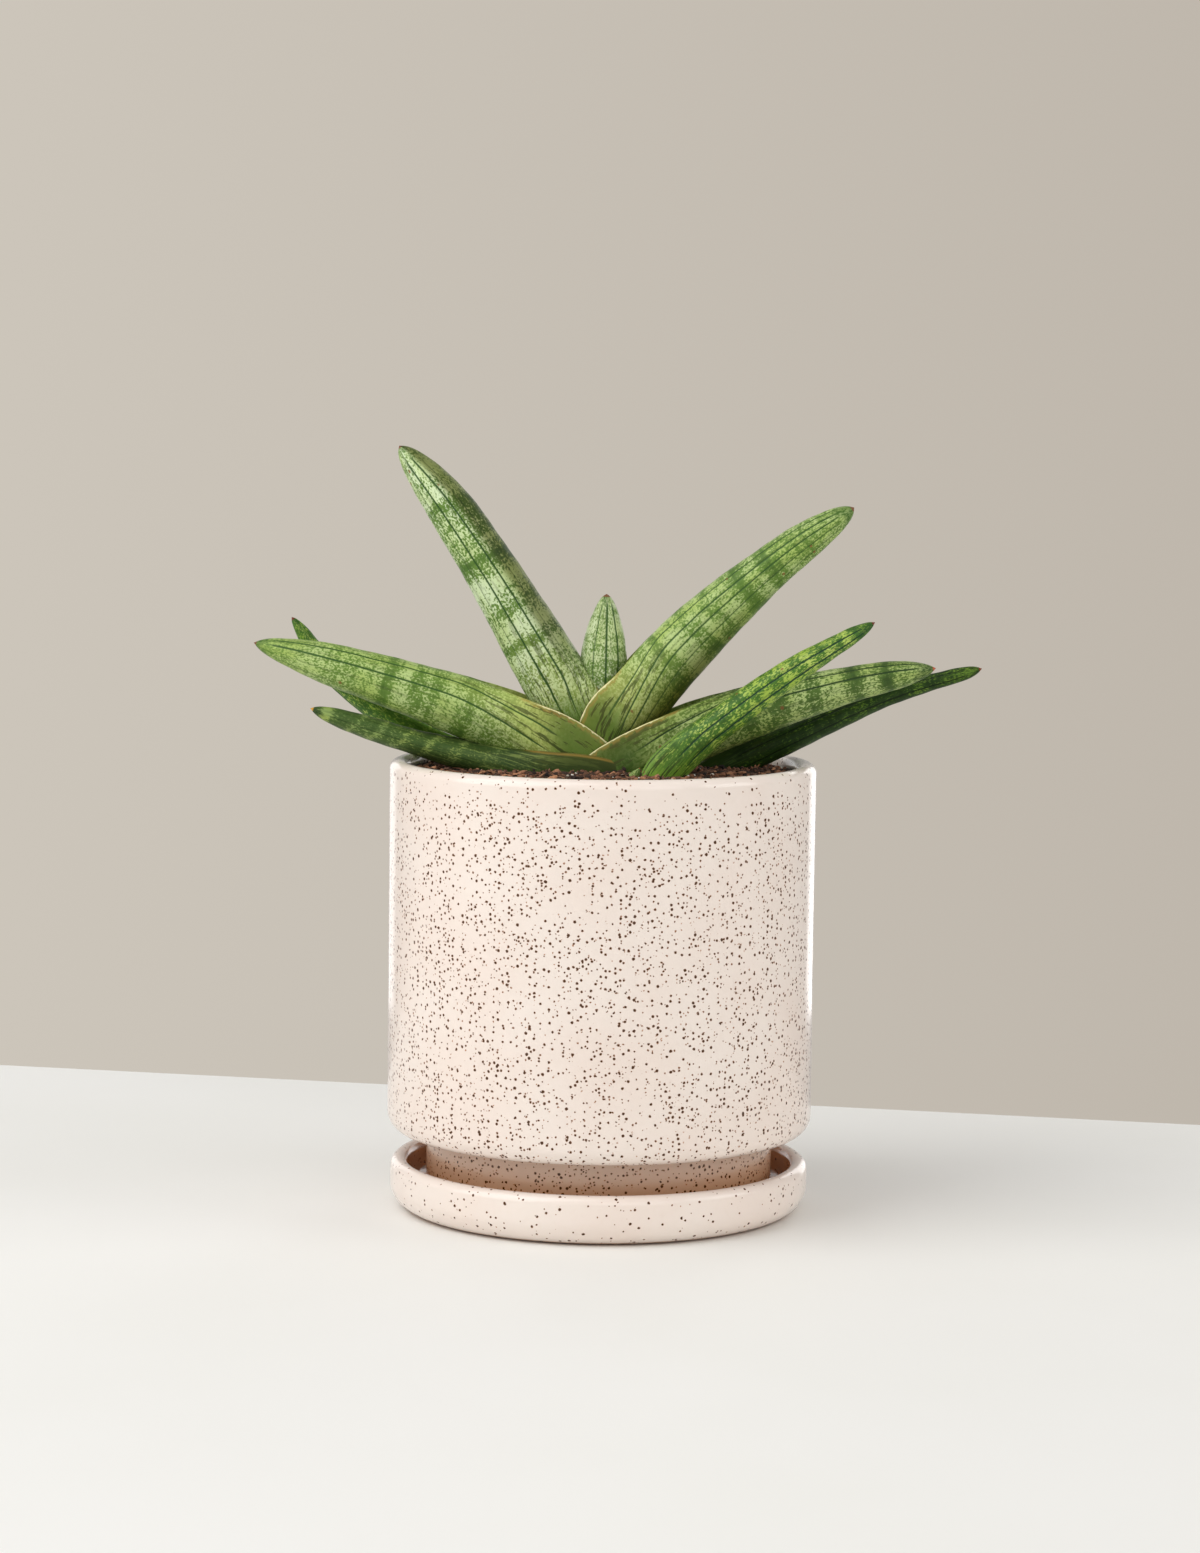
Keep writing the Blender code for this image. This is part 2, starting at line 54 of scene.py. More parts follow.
# A leaf's pattern is wrapped on a round of this radius in mm, with the margins at this angle from
# the keel. The shift sets the patterns of two leaves apart.
PATTERN_GIRTH = 8.0
PATTERN_EDGE = math.radians(150)
PATTERN_SHIFT = 37.0

Socket = bpy.types.NodeSocket
Triple = tuple[float, float, float]
Colour = Triple
Profile = list[tuple[float, float]]
Face = tuple[int, ...]


def paint(red: float, green: float, blue: float) -> Colour:
    """Turn a display colour of 0 to 255 a channel into scene-linear values.

    Args:
        red: Red as seen under white light.
        green: Green of the same.
        blue: Blue of the same.

    Returns:
        The three values that the shaders take.
    """
    linear = []
    for share in (red / 255.0, green / 255.0, blue / 255.0):
        linear.append(share / 12.92 if share <= 0.04045 else ((share + 0.055) / 1.055) ** 2.4)
    return (linear[0], linear[1], linear[2])


def smooth_rise(value: np.ndarray) -> np.ndarray:
    """0 below 0, 1 above 1 and a smooth rise between."""
    held = np.clip(value, 0.0, 1.0)
    return held * held * (3.0 - 2.0 * held)


def between(t: np.ndarray, first: np.ndarray, second: np.ndarray, leaving: np.ndarray,
            arriving: np.ndarray) -> np.ndarray:
    """Cubic from the first to the second, with t from 0 to 1 and the slopes at both."""
    cubic = (2 * t**3 - 3 * t**2 + 1) * first + (t**3 - 2 * t**2 + t) * leaving
    return cubic + (3 * t**2 - 2 * t**3) * second + (t**3 - t**2) * arriving


class Nodes:
    """Adds nodes to one node tree and joins them."""

    def __init__(self, tree: bpy.types.NodeTree) -> None:
        """Work on a node tree."""
        self.tree = tree

    def node(self, kind: str, inputs: dict[str | int, object] | None = None,
             **settings: object) -> bpy.types.Node:
        """Add a node.

        Args:
            kind: Type of the node.
            inputs: What its inputs take, by name or number.
            settings: Its own properties.

        Returns:
            The new node.
        """
        made = self.tree.nodes.new(kind)
        for key, value in settings.items():
            setattr(made, key, value)
        for key, value in (inputs or {}).items():
            self.feed(made.inputs[key], value)
        return made

    def feed(self, target: Socket, value: object) -> None:
        """Link a socket, or set the number, vector or display colour that it holds.

        Args:
            target: Input socket to drive.
            value: Another node's output, a number, or a tuple.
        """
        if isinstance(value, bpy.types.NodeSocket):
            self.tree.links.new(value, target)
        elif target.type == "RGBA":
            target.default_value = (*paint(*value), 1.0)
        else:
            target.default_value = value


class Shading(Nodes):
    """Builds the node tree of one material step by step."""

    def __init__(self, name: str) -> None:
        """Start a material with one Principled shader.

        Args:
            name: Name of the material.
        """
        self.material = bpy.data.materials.new(name)
        self.material.use_nodes = True
        super().__init__(self.material.node_tree)
        self.shader = self.tree.nodes["Principled BSDF"]

    def math(self, operation: str, *terms: object) -> Socket:
        """Combine sockets or numbers by a Math operation."""
        return self.node("ShaderNodeMath", dict(enumerate(terms)), operation=operation).outputs[0]

    def times(self, first: object, second: object) -> Socket:
        """Product of two sockets or numbers."""
        return self.math("MULTIPLY", first, second)

    def swing(self, noise: Socket, share: float) -> Socket:
        """How far a noise is from its middle, by a share."""
        return self.times(self.math("SUBTRACT", noise, 0.5), share)

    def blend(self, share: object, first: object, second: object, way: str = "MIX") -> Socket:
        """Lay the second colour over the first in some way, by a share from 0 to 1."""
        return self.node("ShaderNodeMix", {0: share, 6: first, 7: second}, data_type="RGBA",
                         blend_type=way, clamp_factor=True).outputs[2]

    def tint(self, share: object, first: object, second: object) -> Socket:
        """Multiply a colour by another, by a share from 0 to 1."""
        return self.blend(share, first, second, "MULTIPLY")

    def scaled(self, vector: Socket, factors: Triple) -> Socket:
        """Stretch a coordinate along its axes."""
        inputs = {0: vector, 1: factors}
        return self.node("ShaderNodeVectorMath", inputs, operation="MULTIPLY").outputs[0]

    def noise(self, vector: Socket, scale: float, detail: float = 2.0, roughness: float = 0.5,
              stretch: Triple | None = None) -> Socket:
        """Fractal noise round 0.5.

        Args:
            vector: Coordinate to look up.
            scale: Features per unit of the coordinate.
            detail: Octaves.
            roughness: Share of each finer octave.
            stretch: Factors of the coordinate's axes.

        Returns:
            The noise's value.
        """
        spot = self.scaled(vector, stretch) if stretch else vector
        inputs = {"Vector": spot, "Scale": scale, "Detail": detail, "Roughness": roughness}
        return self.node("ShaderNodeTexNoise", inputs).outputs["Fac"]

    def cells(self, vector: Socket, size: float) -> tuple[Socket, Socket]:
        """Distance to the nearest of scattered points, in units of size, and its random colour."""
        made = self.node("ShaderNodeTexVoronoi", {"Vector": vector, "Scale": 1.0 / size})
        return made.outputs["Distance"], made.outputs["Color"]

    def step(self, value: object, low: float, high: float, start: float = 0.0,
             end: float = 1.0) -> Socket:
        """Smooth rise of a value between two limits.

        Args:
            value: Socket to map.
            low: Value that gives start.
            high: Value that gives end.
            start: Result at low.
            end: Result at high.

        Returns:
            The mapped value.
        """
        inputs = {"Value": value, "From Min": low, "From Max": high, "To Min": start, "To Max": end}
        return self.node("ShaderNodeMapRange", inputs, interpolation_type="SMOOTHSTEP",
                         clamp=True).outputs["Result"]

    def split(self, vector: Socket) -> tuple[Socket, ...]:
        """The three parts of a vector or colour."""
        return tuple(self.node("ShaderNodeSeparateXYZ", {0: vector}).outputs)

    def number(self, name: str) -> Socket:
        """A float that the mesh carries."""
        return self.node("ShaderNodeAttribute", attribute_name=name).outputs["Fac"]

    def vector(self, name: str) -> Socket:
        """A vector that the mesh carries."""
        return self.node("ShaderNodeAttribute", attribute_name=name).outputs["Vector"]

    def place(self) -> Socket:
        """The point on the object, in millimetres."""
        spot = self.node("ShaderNodeTexCoord").outputs["Object"]
        return self.scaled(spot, (1000.0, 1000.0, 1000.0))

    def bump(self, height: Socket, depth: float, strength: float) -> None:
        """Raise the shading by a height of 0 to 1, where depth is the height of 1 in mm."""
        inputs = {"Strength": strength, "Distance": depth * MM, "Height": height}
        self.surface(Normal=self.node("ShaderNodeBump", inputs).outputs["Normal"])

    def surface(self, **values: object) -> None:
        """Feed the shader's own inputs, with _ for a space in their names."""
        for key, value in values.items():
            self.feed(self.shader.inputs[key.replace("_", " ")], value)


class Finish:
    """A finish that builds its own material."""

    def dress(self, shade: Shading) -> None:
        """Lay the finish on a new material."""
        raise NotImplementedError

    def material(self, name: str) -> bpy.types.Material:
        """Make the finish's material.

        Args:
            name: Name of the material.

        Returns:
            The finished material.
        """
        shade = Shading(name)
        self.dress(shade)
        return shade.material


@dataclass(frozen=True)
class GlazeFinish(Finish):
    """Glossy blush glaze with iron specks over a pale clay body."""

    body: Colour = (240, 228, 219)
    blush: Colour = (238, 223, 213)
    mist: Colour = (240, 232, 226)
    # Colour of the painted shade on the foot under the pot and in the saucer's well.
    shaded: Colour = (188, 136, 90)
    clay: Colour = (222, 200, 178)
    clay_grain: Colour = (205, 190, 172)
    clay_roughness: float = 0.85
    speck_dark: Colour = (66, 34, 2)
    speck_rust: Colour = (158, 92, 14)
    large_cell: float = 1.36
    large_radius: float = 0.46
    small_cell: float = 0.86
    small_radius: float = 0.27
    small_share: float = 0.3
    uneven: float = 0.42
    gloss: float = 0.13

    def specks(self, shade: Shading, spot: Socket, cell: float, radius: float,
               share: Socket) -> tuple[Socket, Socket]:
        """Round specks of mixed sizes, each with a rusty halo.

        Args:
            shade: Material being built.
            spot: Coordinate in millimetres.
            cell: Distance between possible specks in millimetres.
            radius: Largest radius in millimetres.
            share: Share of the possible specks that are there.

        Returns:
            Cover of the specks and of their halos, from 0 to 1.
        """
        distance, chance = shade.cells(spot, cell)
        first, second, _ = shade.split(chance)
        there = shade.math("LESS_THAN", first, share)
        size = shade.math("MULTIPLY_ADD", second, 0.4 * radius / cell, 0.6 * radius / cell)
        inside = shade.math("SUBTRACT", size, distance)
        core = shade.step(inside, -0.01, 0.03)
        halo = shade.step(inside, -0.08, -0.01)
        return shade.times(core, there), shade.times(halo, there)

    def dress(self, shade: Shading) -> None:
        """Build the glaze from speck_share, glazed and the painted shade that the mesh carries.

        Args:
            shade: Material being built.
        """
        spot = shade.place()
        wobble = shade.noise(spot, 1.9).node.outputs["Color"]
        inputs = {0: wobble, 1: (self.uneven, self.uneven, self.uneven), 2: spot}
        where = shade.node("ShaderNodeVectorMath", inputs, operation="MULTIPLY_ADD").outputs[0]
        drift = shade.step(shade.noise(spot, 0.085, 3.0), 0.34, 0.66, 0.72, 1.0)
        share = shade.times(drift, shade.number("speck_share"))
        large, large_halo = self.specks(shade, where, self.large_cell, self.large_radius, share)
        share = shade.times(share, self.small_share)
        small, small_halo = self.specks(shade, where, self.small_cell, self.small_radius, share)
        halo = shade.math("MAXIMUM", shade.times(large_halo, 0.85), shade.times(small_halo, 0.9))
        pool = shade.noise(spot, 0.03)
        base = shade.blend(shade.step(pool, 0.3, 0.7), self.body, self.blush)
        mist = shade.noise(spot, 0.5, 4.0)
        base = shade.tint(shade.step(mist, 0.45, 0.8, 0.0, 0.12), base, self.mist)
        # Painted shade: blend towards the shaded colour by the painted shade that the mesh carries.
        base = shade.blend(shade.number("painted_shade"), base, self.shaded)
        base = shade.blend(halo, base, self.speck_rust)
        base = shade.blend(shade.math("MAXIMUM", large, small), base, self.speck_dark)
        grain = shade.noise(spot, 2.6, 5.0, 0.65)
        clay = shade.tint(shade.step(grain, 0.35, 0.7), self.clay, self.clay_grain)
        glazed = shade.number("glazed")
        dull = shade.step(shade.noise(spot, 0.05), 0.3, 0.8, self.gloss, self.gloss + 0.05)
        inputs = {0: glazed, 2: self.clay_roughness, 3: dull}
        rough = shade.node("ShaderNodeMix", inputs, data_type="FLOAT").outputs[0]
        shade.bump(shade.noise(spot, 0.16), 0.06, 0.25)
        shade.surface(Base_Color=shade.blend(glazed, clay, base), Roughness=rough, IOR=1.5)


@dataclass(frozen=True)
class SoilFinish(Finish):
    """Moist peat crumb."""

    dark: Colour = (34, 20, 13)
    mid: Colour = (92, 60, 44)
    light: Colour = (150, 112, 86)

    def dress(self, shade: Shading) -> None:
        """Build the crumb with its clumps and flecks.

        Args:
            shade: Material being built.
        """
        spot = shade.place()
        crumb = shade.noise(spot, 0.9, 6.0, 0.7)
        clump = shade.noise(spot, 0.22, 3.0)
        fleck = shade.noise(spot, 3.1)
        base = shade.blend(shade.step(crumb, 0.38, 0.66), self.dark, self.mid)
        base = shade.blend(shade.step(clump, 0.45, 0.8, 0.0, 0.6), base, self.dark)
        base = shade.blend(shade.step(fleck, 0.66, 0.74, 0.0, 0.8), base, self.light)
        shade.bump(shade.noise(spot, 1.7, 7.0, 0.75), 0.7, 0.9)
        shade.surface(Base_Color=base, Roughness=shade.step(crumb, 0.3, 0.7, 0.78, 0.98))


@dataclass(frozen=True)
class BitFinish(Finish):
    """Finish of loose bits in the soil: bark, crumb, fibre or grit."""

    dark: Colour
    light: Colour
    grain: float
    roughness: float = 0.8

    def dress(self, shade: Shading) -> None:
        """Build the bits' finish, with a tone of its own for each bit.

        Args:
            shade: Material being built.
        """
        grain = shade.noise(shade.place(), self.grain, 4.0, 0.6)
        base = shade.blend(shade.number("bit_tone"), self.dark, self.light)
        base = shade.tint(shade.step(grain, 0.4, 0.7, 0.0, 0.55), base, self.dark)
        rough = shade.step(grain, 0.3, 0.7, self.roughness - 0.1, self.roughness + 0.1)
        shade.bump(grain, 0.3, 0.7)
        shade.surface(Base_Color=base, Roughness=rough)


@dataclass(frozen=True)
class RootFinish(Finish):
    """Orange-brown skin of the underground stem and its roots."""

    dark: Colour = (120, 70, 36)
    light: Colour = (206, 150, 92)
    stained: Colour = (110, 84, 64)

    def dress(self, shade: Shading) -> None:
        """Build the skin with rings and soil stains.

        Args:
            shade: Material being built.
        """
        spot = shade.place()
        rings = shade.noise(spot, 0.9, 3.0, stretch=(0.25, 0.25, 1.0))
        stain = shade.noise(spot, 0.6, 5.0)
        base = shade.blend(shade.step(rings, 0.35, 0.65), self.dark, self.light)
        base = shade.tint(shade.step(stain, 0.5, 0.7, 0.0, 0.7), base, self.stained)
        shade.bump(rings, 0.5, 0.6)
        shade.surface(Base_Color=base, Roughness=shade.step(stain, 0.3, 0.7, 0.6, 0.85))


@dataclass(frozen=True)
class FloorFinish(Finish):
    """Matt white table top."""

    top: Colour = (240, 239, 236)
    worn: Colour = (238, 237, 233)

    def dress(self, shade: Shading) -> None:
        """Build the table top's finish.

        Args:
            shade: Material being built.
        """
        spot = shade.place()
        cloud = shade.noise(spot, 0.006, 3.0)
        base = shade.blend(shade.step(cloud, 0.3, 0.7), self.top, self.worn)
        rough = shade.step(cloud, 0.3, 0.7, 0.7, 0.74)
        shade.bump(shade.noise(spot, 0.8, 3.0), 0.01, 0.2)
        shade.surface(Base_Color=base, Roughness=rough, Specular_IOR_Level=0.25)


@dataclass(frozen=True)
class LeafFinish(Finish):
    """Colours and mottling of one kind of leaf."""

    pale: Colour
    pale_warm: Colour
    green: Colour
    deep: Colour
    line: Colour
    base: Colour
    margin: Colour
    point: Colour
    mottle: float
    patch: float = 0.55
    streak: float = 0.3
    bar: float = 1.0
    contrast: float = 3.3
    speck_scale: float = 1.5
    edge: float = 0.26
    vein: float = 0.6
    shine: float = 0.28
    foot: Colour = (66, 104, 24)
    base_share: float = 0.5
    # Tint of the painted shade on the leaf's side turned from the light and on its low keel.
    dull: Colour = (178, 172, 148)
    thread: Colour = (56, 70, 24)
    warm: Colour = (190, 178, 84)
    scar: Colour = (128, 84, 44)
    scar_cell: float = 9.0
    seam: Colour = (164, 128, 60)
    roughness: float = 0.46

    def dress(self, shade: Shading) -> None:
        """Build the skin from what LeafBlade.dress stores on the mesh.

        Args:
            shade: Material being built.
        """
        flat = shade.vector("leaf_unrolled")
        groove, margin, point = shade.split(shade.vector("leaf_marks"))
        base_zone, cap, hollow = shade.split(shade.vector("leaf_zones"))
        fine = shade.noise(flat, self.speck_scale, 2.0, 0.6, (0.75, 1.0, 1.0))
        bars = shade.noise(flat, 0.52, 2.0, 0.55, (1.0, 0.22, 0.22))
        patches = shade.noise(flat, 0.3, 3.0, 0.6, (0.8, 1.0, 1.0))
        streaks = shade.noise(flat, 0.9, 3.0, 0.6, (0.07, 1.0, 1.0))
        veins = shade.noise(flat, 0.95, 3.0, 0.7, (0.08, 1.0, 1.0))
        warm = shade.noise(flat, 0.12, stretch=(0.5, 1.0, 1.0))
        amount = shade.math("ADD", shade.number("leaf_bands"), self.mottle)
        for pattern, share in ((patches, self.patch), (streaks, self.streak), (bars, self.bar)):
            amount = shade.math("ADD", amount, shade.swing(pattern, share))
        speck = shade.math("ADD", shade.swing(fine, self.contrast), amount)
        cover = shade.step(speck, 0.5 - self.edge, 0.5 + self.edge)
        gaps = shade.times(shade.step(veins, 0.36, 0.47, 1.0, 0.0), base_zone)
        lines = shade.times(shade.step(veins, 0.54, 0.59),
                            shade.math("MULTIPLY_ADD", base_zone, 0.75, 0.5 * self.vein))
        capped = shade.times(cap, shade.math("MULTIPLY_ADD", cover, 0.4, 0.45))
        scar_distance, scar_chance = shade.cells(flat, self.scar_cell)
        scar = shade.times(shade.step(scar_distance, 0.05, 0.08, 1.0, 0.0),
                           shade.math("LESS_THAN", shade.split(scar_chance)[0], 0.8))
        seam = shade.times(shade.step(margin, 0.05, 0.3), shade.step(margin, 0.35, 0.7, 1.0, 0.0))
        rim = shade.times(shade.math("ADD", margin, shade.swing(fine, 0.5)), margin)
        body = shade.blend(shade.step(warm, 0.35, 0.65), self.pale, self.pale_warm)
        layers = (
            (cover, self.green),
            (shade.step(amount, 0.62, 1.35, 0.0, 0.85), self.deep),
            (shade.times(base_zone, self.base_share), self.base),
            (shade.times(gaps, 0.7), self.pale_warm),
            (shade.step(base_zone, 0.66, 0.96, 0.0, 0.85), self.foot),
            (lines, self.thread),
            (shade.times(shade.number("leaf_warm"), 0.16), self.warm),
            (capped, self.deep),
            (shade.step(groove, 0.1, 0.7, 0.0, 0.97), self.line),
            (shade.times(scar, 0.8), self.scar),
            (shade.times(hollow, 0.5), self.base),
            (shade.times(seam, 0.5), self.seam),
            (shade.step(rim, 0.3, 0.8, 0.0, 0.95), self.margin),
            (shade.step(point, 0.25, 0.75), self.point),
        )
        for share, colour in layers:
            body = shade.blend(share, body, colour)
        # Painted shade: tint the side turned from the light and the low keel darker.
        body = shade.tint(shade.number("leaf_dull"), body, self.dull)
        wax = shade.step(patches, 0.3, 0.7, self.roughness - 0.05, self.roughness + 0.09)
        shade.bump(shade.math("ADD", shade.times(veins, 0.7), shade.times(fine, 0.4)), 0.12, 0.55)
        shade.surface(Base_Color=body, Roughness=wax, IOR=1.45, Specular_IOR_Level=self.shine)


class LeafKind(Enum):
    """The kinds of leaf and the finish of each."""

    SILVER = LeafFinish(
        pale=(209, 225, 183), pale_warm=(193, 211, 149), green=(100, 132, 56), deep=(56, 94, 26),
        line=(44, 78, 26), base=(178, 186, 94), margin=(240, 228, 180), point=(120, 76, 48),
        dull=(160, 158, 124), mottle=0.46, speck_scale=1.7, contrast=3.6)
    SAGE = LeafFinish(
        pale=(180, 200, 131), pale_warm=(164, 187, 99), green=(100, 132, 52), deep=(54, 90, 26),
        line=(50, 84, 30), base=(192, 194, 108), margin=(238, 226, 176), point=(122, 82, 54),
        dull=(158, 142, 108), base_share=0.6, mottle=0.52, speck_scale=1.8, contrast=2.6)
    YOUNG = replace(
        SAGE, pale=(206, 218, 178), pale_warm=(192, 208, 146), green=(112, 142, 68),
        base=(200, 208, 116), contrast=3.0)
    # OLIVE's foot colour is the leaf's own green base, made darker as painted shade from the leaf
    # above it.
    OLIVE = LeafFinish(
        pale=(180, 198, 128), pale_warm=(164, 184, 102), green=(84, 113, 45), deep=(48, 74, 27),
        line=(36, 62, 22), base=(120, 144, 60), foot=(44, 80, 14), margin=(236, 224, 172),
        point=(178, 84, 50), mottle=0.56)
    DARK = LeafFinish(
        pale=(132, 154, 88), pale_warm=(146, 164, 84), green=(72, 96, 46), deep=(36, 58, 24),
        line=(20, 36, 12), base=(22, 38, 12), foot=(36, 58, 20), margin=(214, 212, 150),
        point=(196, 146, 62), base_share=0.85, shine=0.15, mottle=0.81, patch=0.5, bar=0.5,
        contrast=2.0)
    BRIGHT = LeafFinish(
        pale=(178, 198, 98), pale_warm=(156, 184, 72), green=(74, 116, 38), deep=(36, 76, 24),
        line=(20, 58, 34), base=(112, 150, 54), foot=(112, 152, 48), margin=(160, 182, 92),
        point=(110, 50, 32), mottle=0.84, patch=0.9, contrast=4.4, speck_scale=1.3, roughness=0.4)
    # SHADED is a darker finish for the back right leaf; its darkness is painted shade for where it
    # sits under the others.
    SHADED = LeafFinish(
        pale=(108, 138, 50), pale_warm=(86, 118, 38), green=(40, 64, 23), deep=(22, 40, 12),
        line=(14, 28, 8), base=(26, 42, 14), foot=(48, 72, 24), margin=(150, 170, 84),
        point=(120, 60, 32), base_share=0.85, shine=0.15, mottle=0.9, patch=0.6, contrast=2.6)


def ring_faces(low: int, high: int, sides: int, turned: bool = False) -> list[Face]:
    """Quads between two rings of points.

    Args:
        low: Number of the one ring's first point.
        high: Number of the other's first point.
        sides: Points of a ring.
        turned: Face the other way.

    Returns:
        The quads in order.
    """
    quads = []
    for k in range(sides):
        follow = (k + 1) % sides
        quads.append((low + k, low + follow, high + follow, high + k) if turned
                     else (low + k, high + k, high + follow, low + follow))
    return quads


def add_mesh(name: str, points: object, faces: list[Face]) -> bpy.types.Mesh:
    """Make a mesh.

    Args:
        name: Name of the mesh.
        points: Its points, in order.
        faces: The numbers of each face's points.

    Returns:
        The new mesh.
    """
    mesh = bpy.data.meshes.new(name)
    mesh.from_pydata([tuple(point) for point in points], [], faces)
    return mesh


def add_object(name: str, data: bpy.types.ID) -> bpy.types.Object:
    """Link a mesh, a light or a camera to the scene.

    Args:
        name: Name of the object.
        data: What the object holds.

    Returns:
        The new object.
    """
    item = bpy.data.objects.new(name, data)
    bpy.context.scene.collection.objects.link(item)
    return item


def add_piece(name: str, mesh: bpy.types.Mesh, finish: bpy.types.Material,
              nodes: tuple[str, ...]) -> bpy.types.Object:
    """Link a mesh as a piece of the plant.

    Args:
        name: Name of the piece.
        mesh: Its mesh, in the object's frame.
        finish: Its material.
        nodes: Solids that the piece stands for.

    Returns:
        The new object.
    """
    mesh.materials.append(finish)
    mesh.shade_smooth()
    piece = add_object(name, mesh)
    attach(piece, BODY)
    if nodes:
        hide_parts(*nodes)
    return piece


def carry(mesh: bpy.types.Mesh, name: str, values: np.ndarray) -> None:
    """Store a number or a vector at every vertex.

    Args:
        mesh: Mesh that carries it.
        name: Name that the material reads.
        values: One number, or three, a vertex.
    """
    kind, key = ("FLOAT", "value") if values.ndim == 1 else ("FLOAT_VECTOR", "vector")
    layer = mesh.attributes.new(name, kind, "POINT")
    layer.data.foreach_set(key, values.astype(np.float32).ravel())


def arc(centre_r: float, centre_z: float, radius: float, start: float, end: float,
        steps: int = 10) -> Profile:
    """Points of an arc from a first to a last angle in degrees, by radius and height."""
    angles = [math.radians(start + (end - start) * step / steps) for step in range(steps + 1)]
    return [(centre_r + radius * math.cos(a), centre_z + radius * math.sin(a)) for a in angles]


@dataclass(frozen=True)
class Turning:
    """Turns a profile of radius and height about the upright axis."""

    segments: int = 208
    longest: float = 3.0 * MM
    shortest: float = 0.001 * MM
    waver: float = 0.05 * MM
    still_radius: float = 10.0 * MM

    def divided(self, profile: Profile) -> np.ndarray:
        """Divide the profile's long edges.

        Args:
            profile: Radius and height of each point.

        Returns:
            The same line with closer points.
        """
        points = [profile[0]]
        for (r0, z0), (r1, z1) in zip(profile, profile[1:]):
            length = math.dist((r0, z0), (r1, z1))
            if length < self.shortest:
                continue
            parts = max(1, math.ceil(length / self.longest))
            for k in range(1, parts + 1):
                points.append((r0 + (r1 - r0) * k / parts, z0 + (z1 - z0) * k / parts))
        return np.array(points)

    def mesh(self, name: str, profile: Profile, closed: bool) -> bpy.types.Mesh:
        """Turn a profile into a closed mesh that wavers a little, as thrown ware does.

        Args:
            name: Name of the mesh.
            profile: Radius and height of each point, outside first.
            closed: The profile is a loop off the axis. Otherwise both its ends lie on the axis.

        Returns:
            The mesh.
        """
        line = self.divided([*profile, profile[0]] if closed else profile)
        line = line[:-1] if closed else line[1:-1]
        turn = np.linspace(0.0, FULL_TURN, self.segments, endpoint=False)
        radius = line[:, :1] * np.ones_like(turn)
        height = line[:, 1:] * np.ones_like(turn)
        sway = np.sin(3.0 * turn + 0.7) * np.sin(height * 61.0) + 0.6 * np.sin(2.0 * turn + 2.0)
        sway += 0.35 * np.sin(height * 420.0 + 1.5 * np.sin(turn))
        radius = radius + self.waver * sway * (radius > self.still_radius)
        points = np.stack([radius * np.cos(turn), radius * np.sin(turn), height], axis=2)
        vertices = [tuple(point) for point in points.reshape(-1, 3)]
        count = len(line)
        faces: list[Face] = []
        for row in range(count if closed else count - 1):
            high = (row + 1) % count * self.segments
            faces += ring_faces(row * self.segments, high, self.segments)
        if not closed:
            top = len(vertices)
            last = top - self.segments
            vertices += [(0.0, 0.0, profile[0][1]), (0.0, 0.0, profile[-1][1])]
            for k in range(self.segments):
                follow = (k + 1) % self.segments
                faces += [(top, k, follow), (top + 1, last + follow, last + k)]
        mesh = add_mesh(name, vertices, faces)
        mesh.validate()
        return mesh


class Ware(Enum):
    """The two pieces of the same speckled ware."""

    POT = "pot"
    SAUCER = "saucer"


